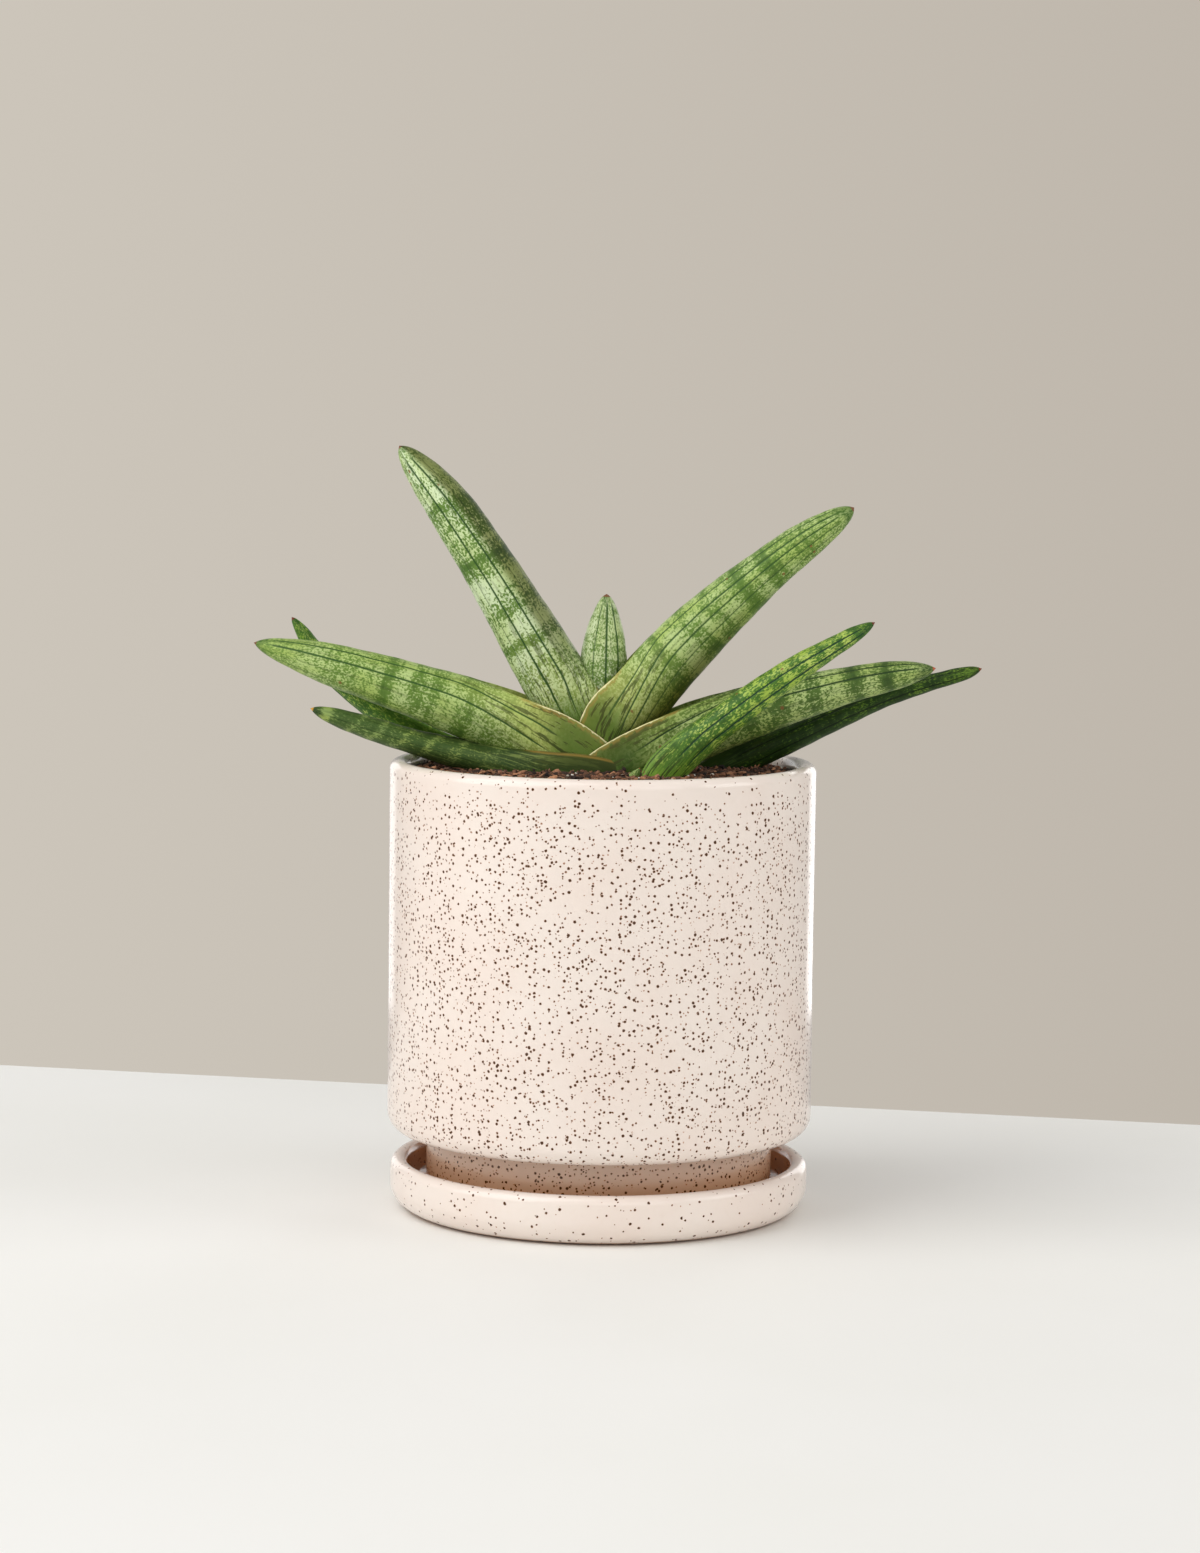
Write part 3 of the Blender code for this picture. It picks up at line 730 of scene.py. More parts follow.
@dataclass
class Crockery:
    """The pot and the saucer, with the sizes of their solids.

    The specks thicken from speck_start to speck_fade further below the rim, both in mm.
    """

    pot_radius: float = 65.0 * MM
    pot_top: float = 137.5 * MM
    pot_wall: float = 5.7 * MM
    body_bottom: float = 24.0 * MM
    body_corner: float = 5.5 * MM
    foot_radius: float = 53.0 * MM
    foot_wall: float = 6.0 * MM
    foot_fillet: float = 1.5 * MM
    foot_ring: float = 7.0 * MM
    foot_recess: float = 2.0 * MM
    pot_floor: float = 6.5 * MM
    drain_radius: float = 6.0 * MM
    saucer_radius: float = 64.0 * MM
    saucer_height: float = 15.3 * MM
    saucer_wall: float = 5.5 * MM
    saucer_floor: float = 5.0 * MM
    saucer_corner: float = 8.0 * MM
    cove: float = 4.0 * MM
    clearance: float = 0.3 * MM
    rim_specks: float = 0.25
    wall_specks: float = 0.39
    inside_share: float = 0.6
    foot_specks: float = 0.75
    saucer_specks: float = 0.17
    well_specks: float = 0.5
    speck_start: float = 3.0
    speck_fade: float = 9.0
    inside_wall: float = 0.9
    bare_foot: float = 0.4 * MM
    bare_fade: float = 0.6 * MM
    bare_saucer: float = 0.5 * MM
    # Painted shade under the pot and in the saucer's well: its strength, its reach above the body's
    # bottom, how it eases with height, and the share of the saucer's wall.
    shade_strength: float = 0.9
    shade_lip: float = 0.5 * MM
    shade_ease: float = 0.45
    ease_start: float = 11.0 * MM
    ease_height: float = 12.0 * MM
    shade_wall: float = 0.8
    finish: GlazeFinish = GlazeFinish()
    lathe: Turning = Turning()

    def pot_profile(self) -> Profile:
        """Lay out the pot: down the outside, under the foot and up the inside.

        Returns:
            The closed profile.
        """
        rim = self.pot_wall / 2
        rim_z = self.pot_top - rim
        inner = self.pot_radius - self.pot_wall
        foot_bottom = self.saucer_floor + self.clearance
        floor_top = foot_bottom + self.pot_floor
        recess = foot_bottom + self.foot_recess
        ring_inner = self.foot_radius - self.foot_ring
        foot_inner = self.foot_radius - self.foot_wall
        ledge = self.body_bottom + self.pot_wall
        corner = self.body_corner
        fillet = self.foot_fillet
        points = arc(self.pot_radius - rim, rim_z, rim, 90, 0)
        points += arc(self.pot_radius - corner, self.body_bottom + corner, corner, 0, -90)
        points += arc(self.foot_radius + fillet, self.body_bottom - fillet, fillet, 90, 180, 5)
        points += arc(self.foot_radius - fillet, foot_bottom + fillet, fillet, 0, -90, 5)
        points += [(ring_inner, foot_bottom), (ring_inner - self.foot_recess, recess)]
        points += arc(self.drain_radius + fillet, recess + fillet, fillet, -90, -180, 4)
        points += arc(self.drain_radius + fillet, floor_top - fillet, fillet, 180, 90, 4)
        points += arc(foot_inner - self.cove, floor_top + self.cove, self.cove, -90, 0, 5)
        points.append((foot_inner, ledge))
        points += arc(inner - self.cove, ledge + self.cove, self.cove, -90, 0, 5)
        points += arc(self.pot_radius - rim, rim_z, rim, 180, 90)[:-1]
        return points

    def saucer_profile(self) -> Profile:
        """Lay out the saucer: from the axis over the rim to the axis underneath.

        Returns:
            The open profile.
        """
        rim = self.saucer_wall / 2
        inner = self.saucer_radius - self.saucer_wall
        corner = self.saucer_corner
        points = [(0.0, self.saucer_floor)]
        points += arc(inner - self.cove, self.saucer_floor + self.cove, self.cove, -90, 0, 8)
        points += arc(self.saucer_radius - rim, self.saucer_height - rim, rim, 180, 0, 18)
        points += arc(self.saucer_radius - corner, corner, corner, 0, -90, 12)
        points.append((0.0, 0.0))
        return points

    def dress(self, ware: Ware, mesh: bpy.types.Mesh) -> None:
        """Say where the specks and the glaze are, and where shade is painted.

        Args:
            ware: Which piece the mesh is.
            mesh: Its mesh.
        """
        place = np.array([v.co for v in mesh.vertices])
        radius = np.hypot(place[:, 0], place[:, 1])
        height = place[:, 2]
        if ware is Ware.POT:
            below = (self.pot_top - height) / MM
            thicker = smooth_rise((below - self.speck_start) / self.speck_fade)
            share = self.rim_specks + self.wall_specks * thicker
            inside = radius < self.pot_radius - self.pot_wall * self.inside_wall
            share = np.where(inside, share * self.inside_share, share)
            share = np.where(height < self.body_bottom, self.foot_specks, share)
            bottom = self.saucer_floor + self.clearance
            glazed = smooth_rise((height - bottom - self.bare_foot) / self.bare_fade)
            # Painted shade on the foot below the body and the ring round it, darker towards the
            # bottom.
            shade_mask = height < self.body_bottom + self.shade_lip
            shade_mask = shade_mask & (radius > self.foot_radius - self.foot_ring)
            ease = smooth_rise((height - self.ease_start) / self.ease_height)
            shade_mask = shade_mask * (1.0 - self.shade_ease * ease)
        else:
            well = radius < self.saucer_radius - self.saucer_wall
            share = np.where(well, self.well_specks, self.saucer_specks)
            flat = radius < self.saucer_radius - self.saucer_corner
            rise = smooth_rise((height - self.bare_saucer) / self.bare_saucer)
            glazed = np.where(flat, rise, 1.0)
            # Painted shade over the saucer inside its wall.
            shade_mask = radius < self.saucer_radius - self.saucer_wall * self.shade_wall
        carry(mesh, "painted_shade", self.shade_strength * shade_mask.astype(float))
        carry(mesh, "speck_share", share)
        carry(mesh, "glazed", glazed)

    def build(self) -> list[bpy.types.Object]:
        """Make the saucer and the pot.

        Returns:
            The two pieces.
        """
        glaze = self.finish.material("speckled_blush_glaze")
        saucer = self.lathe.mesh("saucer_turned", self.saucer_profile(), False)
        self.dress(Ware.SAUCER, saucer)
        pot = self.lathe.mesh("pot_turned", self.pot_profile(), True)
        self.dress(Ware.POT, pot)
        return [
            add_piece("saucer_turned", saucer, glaze, ("saucer",)),
            add_piece("pot_turned", pot, glaze, ("pot",)),
        ]


@dataclass(frozen=True)
class Band:
    """A cross band: place and half width in mm from the root, green above 0 and pale below."""

    place: float
    half_width: float
    amount: float
    slant: float = 0.0


@dataclass(frozen=True)
class Loft:
    """The measures of a leaf's sections: one a station, or one a sample of each station."""

    length: float
    distance: np.ndarray
    share: np.ndarray
    fade: np.ndarray
    channel: np.ndarray
    unit: np.ndarray
    places: np.ndarray
    angle: np.ndarray
    groove: np.ndarray


# Grooves of the fan's leaves: place across the outside, from -1 to 1, and strength.
BROAD_GROOVES = (
    (-0.84, 0.6), (-0.63, 1.0), (-0.44, 0.5), (-0.22, 0.7), (0.04, 0.4),
    (0.27, 0.4), (0.46, 0.35), (0.64, 1.0), (0.83, 0.9),
)
TALL_GROOVES = (
    (-0.86, 0.5), (-0.68, 0.9), (-0.5, 0.5), (-0.27, 0.8), (-0.05, 0.4),
    (0.19, 0.4), (0.31, 0.5), (0.453, 0.95), (0.628, 1.0), (0.78, 0.45),
)
LEANING_GROOVES = (
    (-0.82, 0.7), (-0.6, 0.9), (-0.42, 0.4), (-0.2, 0.7), (0.03, 0.4),
    (0.24, 0.5), (0.4, 0.6), (0.55, 0.8), (0.68, 0.9), (0.83, 0.75),
)


@dataclass
class LeafBlade:
    """One leaf, lofted along its spine from the same rows as its solid.

    Each row holds x, y, z, half rise and half depth in mm, from root to tip.
    """

    name: str
    kind: LeafKind
    slot: str
    rows: tuple[tuple[float, ...], ...]
    tip_length: float
    channel_end: float
    bands: tuple[Band, ...] = ()
    grooves: tuple[tuple[float, float], ...] = BROAD_GROOVES
    facing: Triple = (0.0, 0.0, 1.0)
    channel_start: float = 0.15
    channel_depth: float = 1.0
    groove_start: float = 0.14
    groove_end: float = 0.93
    groove_depth: float = 0.26
    groove_half_width: float = 0.19
    base_end: float = 0.34
    cap_length: float = 6.0
    point_length: float = 1.3
    point_slope: float = 0.85
    seed: int = 0
    body_stations: int = 118
    tip_stations: int = 30
    outer_steps: int = 16
    inner_steps: int = 8
    margin_angle: float = 120.0
    closed_angle: float = 172.0
    margin_wall: float = 1.5
    keel_share: float = 0.42
    tip_radius: float = 0.12
    gap_steps: int = 5
    path_steps: int = 2400
    look: float = 0.02
    outline_turn: float = 4.19
    ripple: float = 0.06
    # Strength of the painted shade on the back side and on the keel low on the leaf.
    back_shade: float = 0.0
    keel_shade: float = 0.0
    edging: float = 1.0

    def curve(self, position: np.ndarray) -> np.ndarray:
        """Smooth curve through the rows.

        Args:
            position: Places from 0 to the last row's number.

        Returns:
            The five values of a row at each place.
        """
        rows = np.array(self.rows, float)
        padded = np.vstack([2 * rows[0] - rows[1], rows, 2 * rows[-1] - rows[-2]])
        span = np.minimum(position.astype(int), len(rows) - 2)
        t = (position - span)[:, None]
        p0, p1, p2, p3 = (padded[span + k] for k in range(4))
        slope1 = (p2 - p0) / 2
        slope2 = (p3 - p1) / 2
        return between(t, p1, p2, slope1, slope2)

    def stations(self) -> tuple[np.ndarray, np.ndarray, np.ndarray, float]:
        """Where the sections stand.

        Returns:
            Curve position, distance from the root and narrowing of each station, and the length.
        """
        fine = np.linspace(0.0, len(self.rows) - 1, self.path_steps)
        path = self.curve(fine)[:, :3]
        steps = np.linalg.norm(np.diff(path, axis=0), axis=1)
        table = np.concatenate([[0.0], np.cumsum(steps)])
        length = float(table[-1])
        body = length - self.tip_length
        turn = np.linspace(0.0, 0.5 * math.pi, self.tip_stations + 1)[:-1]
        even = np.linspace(0.0, body, self.body_stations, endpoint=False)
        distance = np.concatenate([even, body + self.tip_length * np.sin(turn)])
        position = np.interp(distance, table, fine)
        girth = self.curve(position)[:, 3:].mean(axis=1)
        round_end = np.concatenate([np.ones(self.body_stations), np.cos(turn)])
        cone = self.point_slope * (length - distance) / girth
        narrow = (round_end**-4.0 + np.maximum(cone, 0.01) ** -4.0) ** -0.25
        return position, distance, np.minimum(narrow, 1.0), length

    def axes(self, position: np.ndarray) -> tuple[np.ndarray, np.ndarray, np.ndarray]:
        """Directions of each section.

        Args:
            position: Places from 0 to the last row's number.

        Returns:
            Unit vectors along the leaf, up and across.
        """
        last = len(self.rows) - 1.0
        ahead = self.curve(np.minimum(position + self.look, last))[:, :3]
        behind = self.curve(np.maximum(position - self.look, 0.0))[:, :3]
        along = ahead - behind
        along /= np.linalg.norm(along, axis=1, keepdims=True)
        facing = np.array(self.facing, float)
        up = facing[None, :] - along * (along @ facing)[:, None]
        up /= np.linalg.norm(up, axis=1, keepdims=True)
        across = np.cross(along, up)
        return along, up, np.where(across[:, 1:2] > 0, -across, across)

    def margin_place(self, channel: np.ndarray) -> np.ndarray:
        """Angle of the margins from the keel, nearly closed at the top without a channel."""
        closed = math.radians(self.closed_angle)
        return closed - (closed - math.radians(self.margin_angle)) * channel

    def section(self, rise: np.ndarray, depth: np.ndarray, channel: np.ndarray) -> np.ndarray:
        """Outlines across the leaf, from the near margin round the keel.

        Args:
            rise: Half height of each section in mm.
            depth: Half width of each section in mm.
            channel: How far the upper side is hollowed, from 0 to 1.

        Returns:
            Up and across of the outline's points, for each section.
        """
        margin = self.margin_place(channel)
        wall = np.minimum(self.margin_wall, 0.4 * depth)
        keel = self.keel_share * rise
        points = []
        for k in range(self.outer_steps + 1):
            angle = margin * (2 * k / self.outer_steps - 1)
            side = math.copysign(1.0, 2 * k - self.outer_steps)
            up = -rise * np.cos(angle)
            across = depth * np.sin(angle)
            share = np.clip((np.abs(angle) - math.pi / 2) / (margin - math.pi / 2), 0.0, 1.0)
            flare = channel * (np.abs(angle) > math.pi / 2)
            up = up + (rise * share - up) * flare
            across = across + (side * depth * (1 - 0.08 * share**2) - across) * flare
            points.append(np.stack([up, across], axis=1))
        hollow = (
            (rise * 0.94, depth * 0.92 - wall),
            (0.0 * rise, depth - wall),
            (-0.62 * (rise - keel), 0.72 * (depth - wall)),
            (-(rise - keel), 0.0 * rise),
        )
        for k in range(1, self.inner_steps):
            angle = margin + (FULL_TURN - 2 * margin) * k / self.inner_steps
            mirrored = k > self.inner_steps // 2
            low, wide = hollow[self.inner_steps - k - 1 if mirrored else k - 1]
            up = -rise * np.cos(angle)
            across = depth * np.sin(angle)
            wide = -wide if mirrored else wide
            up = up + (low - up) * channel
            points.append(np.stack([up, across + (wide - across) * channel], axis=1))
        return np.stack(points, axis=1)

    def around(self, unit: np.ndarray) -> tuple[np.ndarray, np.ndarray]:
        """Where each section is sampled, closer at the grooves.

        Args:
            unit: Mean length of one outline step of each station, in mm.

        Returns:
            Places along the outline and the groove's profile there, for each station.
        """
        total = float(self.outer_steps + self.inner_steps)
        half = np.minimum(self.groove_half_width / np.maximum(unit, 0.05), 0.22)
        anchors = [(0.0, 0.0)]
        anchors += [((place + 1) / 2 * self.outer_steps, deep) for place, deep in self.grooves]
        anchors += [(float(self.outer_steps), 0.0), (total, 0.0)]
        places = []
        profile = []
        nothing = np.zeros_like(half)
        for (start, grooved), (end, next_grooved) in zip(anchors, anchors[1:]):
            low = start + (2 * half if grooved else nothing)
            high = end - (2 * half if next_grooved else nothing)
            if grooved:
                places += [start + nothing, start + half]
                profile += [nothing + grooved, nothing + 0.45 * grooved]
            steps = self.gap_steps if end < total else 2 * self.inner_steps
            first = 1 if not grooved and start > 0.0 else 0
            for j in range(first, steps if end == total else steps + 1):
                places.append(low + (high - low) * j / steps)
                profile.append(nothing)
            if next_grooved:
                places.append(end - half)
                profile.append(nothing + 0.45 * next_grooved)
        return np.stack(places, axis=1), np.stack(profile, axis=1)

    def sampled(self, outline: np.ndarray, places: np.ndarray) -> np.ndarray:
        """Smooth closed curve through each outline.

        Args:
            outline: Points of each section.
            places: Where each section is sampled.

        Returns:
            Up and across of the samples.
        """
        span = np.floor(places).astype(int)
        t = (places - span)[:, :, None]
        rows = np.arange(len(outline))[:, None]
        near = [outline[rows, (span + k) % outline.shape[1]] for k in (-1, 0, 1, 2)]
        p0, p1, p2, p3 = near
        d01, d12, d23 = (
            np.maximum(np.linalg.norm(b - a, axis=2, keepdims=True), 1e-6) ** 0.5
            for a, b in zip(near, near[1:])
        )
        slope1 = ((p1 - p0) / d01 - (p2 - p0) / (d01 + d12) + (p2 - p1) / d12) * d12
        slope2 = ((p2 - p1) / d12 - (p3 - p1) / (d12 + d23) + (p3 - p2) / d23) * d12
        return between(t, p1, p2, slope1, slope2)

    def angles(self, places: np.ndarray, edge: np.ndarray | float) -> np.ndarray:
        """Angle of every sample from the keel.

        Args:
            places: Where each section is sampled.
            edge: Angle of the margins.

        Returns:
            The angles, from minus the edge round the keel and over the upper side.
        """
        outer = edge * (2 * places / self.outer_steps - 1)
        inner = edge + (FULL_TURN - 2 * edge) * (places - self.outer_steps) / self.inner_steps
        return np.where(places <= self.outer_steps, outer, inner)

    def banding(self, distance: np.ndarray, angle: np.ndarray) -> np.ndarray:
        """Green amount of the cross bands at every sample.

        Args:
            distance: Distance of each station from the root, in mm.
            angle: Angle of each sample round the leaf.

        Returns:
            Amounts, above 0 for green and below for pale.
        """
        amount = np.zeros_like(angle)
        shaky = 0.9 * np.sin(angle * 5.0 + self.seed) + 0.6 * np.sin(angle * 11.0 + 2.0 * self.seed)
        for band in self.bands:
            shift = band.slant * np.sin(angle - 0.5 * math.pi)
            reach = (distance[:, None] + shaky * 0.35 + shift - band.place) / band.half_width
            strength = 1.05 * band.amount * (0.8 + 0.2 * np.sin(angle * 2.0 + band.place))
            amount += strength * np.exp(-(reach**2))
        return amount

    def mesh(self) -> bpy.types.Mesh:
        """Loft the leaf.

        Returns:
            A closed mesh that carries what its material reads.
        """
        position, distance, narrow, length = self.stations()
        values = self.curve(position)
        along, up, across = self.axes(position)
        rise, depth = (np.maximum(values[:, k] * narrow, self.tip_radius) for k in (3, 4))
        share = distance / length
        fade = (share - self.channel_start) / (self.channel_end - self.channel_start)
        fade = 1.0 - smooth_rise(fade)
        channel = self.channel_depth * fade
        unit = self.outline_turn * 0.5 * (rise + depth) / self.outer_steps
        places, profile = self.around(unit)
        flat = self.sampled(self.section(rise, depth, channel), places)
        angle = self.angles(places, self.margin_place(channel)[:, None])

        start = smooth_rise((share - self.groove_start) / 0.12)
        end = 1.0 - smooth_rise((share - self.groove_end) / 0.05)
        groove = profile * (start * end)[:, None]
        sink = self.groove_depth * groove * narrow[:, None]
        run = distance[:, None]
        waves = np.sin(run * 0.31 + 3.0 * np.sin(angle) + self.seed)
        waves = waves + 0.6 * np.sin(run * 0.83 + 5.0 * np.sin(angle + 1.0) + 2.0 * self.seed)
        waves = waves + 0.5 * np.sin(angle * 6.0 + self.seed)
        swell = self.ripple * waves * narrow[:, None] * smooth_rise(share / 0.15)[:, None]
        size = np.maximum(np.linalg.norm(flat, axis=2), 0.2)
        flat = flat * (1.0 + (swell - sink) / size)[:, :, None]

        points = values[:, None, :3] + up[:, None, :] * flat[:, :, :1]
        points = points + across[:, None, :] * flat[:, :, 1:]
        apex = values[-1, :3] + along[-1] * (length - distance[-1])
        rows, columns = places.shape
        faces: list[Face] = []
        for row in range(rows - 1):
            faces += ring_faces(row * columns, (row + 1) * columns, columns, turned=True)
        tip = (rows - 1) * columns
        faces += [(tip + k, tip + (k + 1) % columns, rows * columns) for k in range(columns)]
        faces.append(tuple(range(columns - 1, -1, -1)))
        mesh = add_mesh(self.name, np.vstack([points.reshape(-1, 3), apex]) * MM, faces)
        self.orient(mesh)
        self.dress(mesh, Loft(length, distance, share, fade, channel, unit, places, angle, groove))
        return mesh

    def orient(self, mesh: bpy.types.Mesh) -> None:
        """Turn all faces outward, judged by the signed volume.

        Args:
            mesh: The leaf's mesh.
        """
        mesh.calc_loop_triangles()
        volume = 0.0
        for triangle in mesh.loop_triangles:
            a, b, c = (mesh.vertices[k].co for k in triangle.vertices)
            volume += a.dot(b.cross(c))
        if volume < 0.0:
            mesh.flip_normals()

    def dress(self, mesh: bpy.types.Mesh, loft: Loft) -> None:
        """Store what the leaf's material reads.

        Args:
            mesh: The leaf's mesh.
            loft: Measures of its sections.
        """
        run = loft.distance[:, None]
        share = loft.share[:, None]
        angle = loft.angle
        turned = np.abs(angle)
        total = self.outer_steps + self.inner_steps
        to_margin = np.minimum(loft.places, total - loft.places)
        to_margin = np.minimum(np.abs(loft.places - self.outer_steps), to_margin)
        to_margin = to_margin * loft.unit[:, None]
        ragged = 0.12 * np.sin(run * 1.7 + self.seed) + 0.08 * np.sin(run * 4.1)
        edging = self.edging * smooth_rise((loft.fade - 0.45) / 0.4)[:, None]
        margin = (1.0 - smooth_rise((to_margin - 0.15 - ragged) / 0.9)) * edging
        warm = np.exp(-to_margin / 3.0) * edging
        point = (run - (loft.length - self.point_length)) / (0.7 * self.point_length)
        point = smooth_rise(point) + 0.0 * angle
        cap_edge = loft.length - self.cap_length + 1.2 * np.sin(angle * 3.0 + self.seed)
        cap = smooth_rise((run - cap_edge) / 2.2)
        base_edge = self.base_end * loft.length * (0.9 + 0.2 * np.sin(angle * 2.0 + self.seed))
        base = 1.0 - smooth_rise((run - 0.25 * base_edge) / base_edge)
        hollow = (loft.places > self.outer_steps) * smooth_rise(loft.channel * 2.0)[:, None]
        # Painted shade on the back side past 105 degrees from the keel, above the base, and round
        # the keel on the lower part of the leaf.
        back = smooth_rise((turned - math.radians(105)) / math.radians(25))
        back = self.back_shade * back * smooth_rise((share - 0.2) / 0.25)
        low = smooth_rise((math.radians(100) - turned) / math.radians(70))
        low = self.keel_shade * (low * smooth_rise((0.75 - share) / 0.45))
        numbers = {
            "leaf_dull": np.maximum(back, low),
            "leaf_warm": warm,
            "leaf_bands": self.banding(loft.distance, angle),
        }
        for name, values in numbers.items():
            carry(mesh, name, np.append(values.ravel(), 0.0))
        lane = self.angles(loft.places, PATTERN_EDGE)
        shift = PATTERN_SHIFT * self.seed
        wrapped = (run + 0.0 * lane, PATTERN_GIRTH * np.cos(lane), PATTERN_GIRTH * np.sin(lane))
        vectors = {
            "leaf_unrolled": (tuple(part + shift for part in wrapped),
                              (loft.length + shift, shift, shift)),
            "leaf_marks": ((loft.groove, margin, point), (0.0, 0.0, 1.0)),
            "leaf_zones": ((base, cap, hollow), (0.0, 1.0, 0.0)),
        }
        for name, (parts, tip) in vectors.items():
            carry(mesh, name, np.vstack([np.stack(parts, axis=2).reshape(-1, 3), tip]))

    def build(self, finishes: dict[LeafKind, bpy.types.Material]) -> bpy.types.Object:
        """Make the leaf's piece, which stands for its solid."""
        finish = finishes[self.kind]
        return add_piece(self.name + "_blade", self.mesh(), finish, (self.name,))


# The fan, from the outermost leaf to the innermost.
FAN = (
    LeafBlade(
        "leaf_outer_left", LeafKind.DARK, "leaf_dark",
        ((11, 0, 127.6, 9, 13), (-7, 0, 131.6, 9, 15.5), (-26, 0, 135.5, 6.6, 13),
         (-50, -1, 140.5, 4.2, 7), (-72, -3, 147, 3.4, 4.6), (-89, -5, 152.7, 2.4, 3.0)),
        tip_length=12, channel_end=0.62, cap_length=4.0, seed=1, groove_depth=0.12, edging=0.6,
        base_end=0.75,
        grooves=((-0.8, 0.5), (-0.4, 0.5), (0.1, 0.35), (0.5, 0.45), (0.76, 0.35)),
        bands=(Band(98.6, 1.5, -0.9), Band(89, 1.0, -0.45, 2.0), Band(82, 1.1, -0.5, 2.0),
               Band(74, 1.0, -0.45, 2.5), Band(66, 1.2, -0.4, 2.5), Band(57, 1.3, -0.35, 2.5),
               Band(47, 1.6, -0.2, 2.0)),
    ),
    LeafBlade(
        "leaf_middle_right", LeafKind.OLIVE, "leaf_mottled",
        ((-7, 0, 127, 8, 11), (5, 0, 135, 9.6, 14), (24, 0, 145, 9.4, 12),
         (46, -0.5, 153.2, 7.9, 8.6), (76, -2, 162, 5.4, 5.6), (100.5, -4.5, 167.1, 3.4, 3.6)),
        tip_length=14, channel_end=0.55, cap_length=7.0, seed=2, base_end=0.5,
        bands=(Band(101, 2.0, 0.6), Band(91, 2.2, 0.6), Band(96, 2.0, -0.3), Band(85, 2.5, -0.35),
               Band(78, 2.2, 0.35), Band(66, 3.0, 0.35), Band(57, 2.5, 0.3), Band(72, 2.5, -0.2)),
    ),
    LeafBlade(
        "leaf_middle_left", LeafKind.SAGE, "leaf_mottled",
        ((4, 0, 131, 8, 9.5), (-12, 0, 141.1, 10, 12), (-30, 0, 148.9, 10, 10.8),
         (-60, 0.5, 158.9, 8.1, 8.4), (-88, 1.5, 167, 6.2, 6.4), (-106.9, 2.5, 172, 4.8, 4.8)),
        tip_length=30, channel_end=0.5, cap_length=5.0, seed=3, base_end=0.42,
        bands=(Band(76, 1.7, 0.5), Band(71.5, 2.2, -0.3), Band(67, 1.6, 0.25), Band(61, 1.6, 0.22),
               Band(51, 2.6, 0.3), Band(57, 2.4, -0.25), Band(90, 3.0, 0.15),
               Band(105, 3.0, -0.1)),
    ),
    LeafBlade(
        "leaf_upper_right", LeafKind.SAGE, "leaf_mottled",
        ((0, 0, 131, 7.5, 7.6), (3, 0, 147.4, 10.6, 10), (12.2, 0, 159.4, 10.2, 9.8),
         (30.8, -0.5, 179.5, 8.9, 8.9), (54, -2, 200.2, 6.3, 6.8), (74.9, -4.5, 215.4, 5.0, 5.2)),
        tip_length=22, channel_end=0.42, cap_length=6.0, seed=4, grooves=LEANING_GROOVES,
        keel_shade=1.0, groove_start=0.1, point_slope=1.3,
        bands=(Band(86, 3.0, 0.45), Band(76, 2.6, 0.5), Band(81, 1.8, -0.25), Band(64, 1.8, 0.3),
               Band(57, 2.6, 0.35, 1.5), Band(60.5, 1.8, -0.35), Band(44, 2.4, 0.3, -1.0),
               Band(49, 2.6, -0.4), Band(69, 2.4, -0.3), Band(100, 4.0, 0.15)),
    ),
    LeafBlade(
        "leaf_upper_left", LeafKind.SILVER, "leaf_mottled",
        ((1, 0, 131, 6.5, 6), (-4.5, 0, 146, 9, 8), (-14.2, 0, 161, 10.3, 9.4),
         (-34.2, 1.0, 194, 8.3, 8.6), (-49, 3, 215.8, 7.1, 7.4), (-63.2, 6, 232.3, 6.0, 6.2)),
        tip_length=30, channel_end=0.3, channel_depth=0.6, cap_length=3.0, seed=5,
        grooves=TALL_GROOVES, back_shade=1.0, base_end=0.4, point_slope=1.3,
        bands=(Band(77, 3.2, 0.62, 1.0), Band(96.5, 2.8, 0.5, 1.5), Band(90, 1.6, 0.3),
               Band(85, 1.6, 0.25), Band(69.5, 3.2, -0.5), Band(54, 2.4, -0.4),
               Band(49.5, 2.0, 0.5), Band(45.5, 1.8, -0.35), Band(61, 1.8, 0.25),
               Band(110, 3.0, -0.4), Band(101, 2.6, -0.3)),
    ),
    LeafBlade(
        "leaf_inner_centre", LeafKind.YOUNG, "leaf_mottled",
        ((1, 1, 133, 4, 3.6), (0, 1, 150, 6.2, 5.4), (-0.2, 1, 167, 7.2, 6.4),
         (0.5, 1, 188.2, 4.8, 4.6)),
        tip_length=20, channel_end=0.3, channel_depth=0.0, facing=(-1.0, 0.0, 0.0),
        cap_length=3.0, seed=6, point_slope=1.8, base_end=0.4, body_stations=60,
        grooves=((-0.8, 0.6), (-0.55, 0.9), (-0.3, 0.6), (-0.05, 0.8), (0.3, 0.9), (0.49, 1.0),
                 (0.68, 0.6)),
        bands=(Band(45, 2.0, -0.3), Band(31, 3.0, 0.2), Band(24, 2.0, -0.25)),
    ),
)

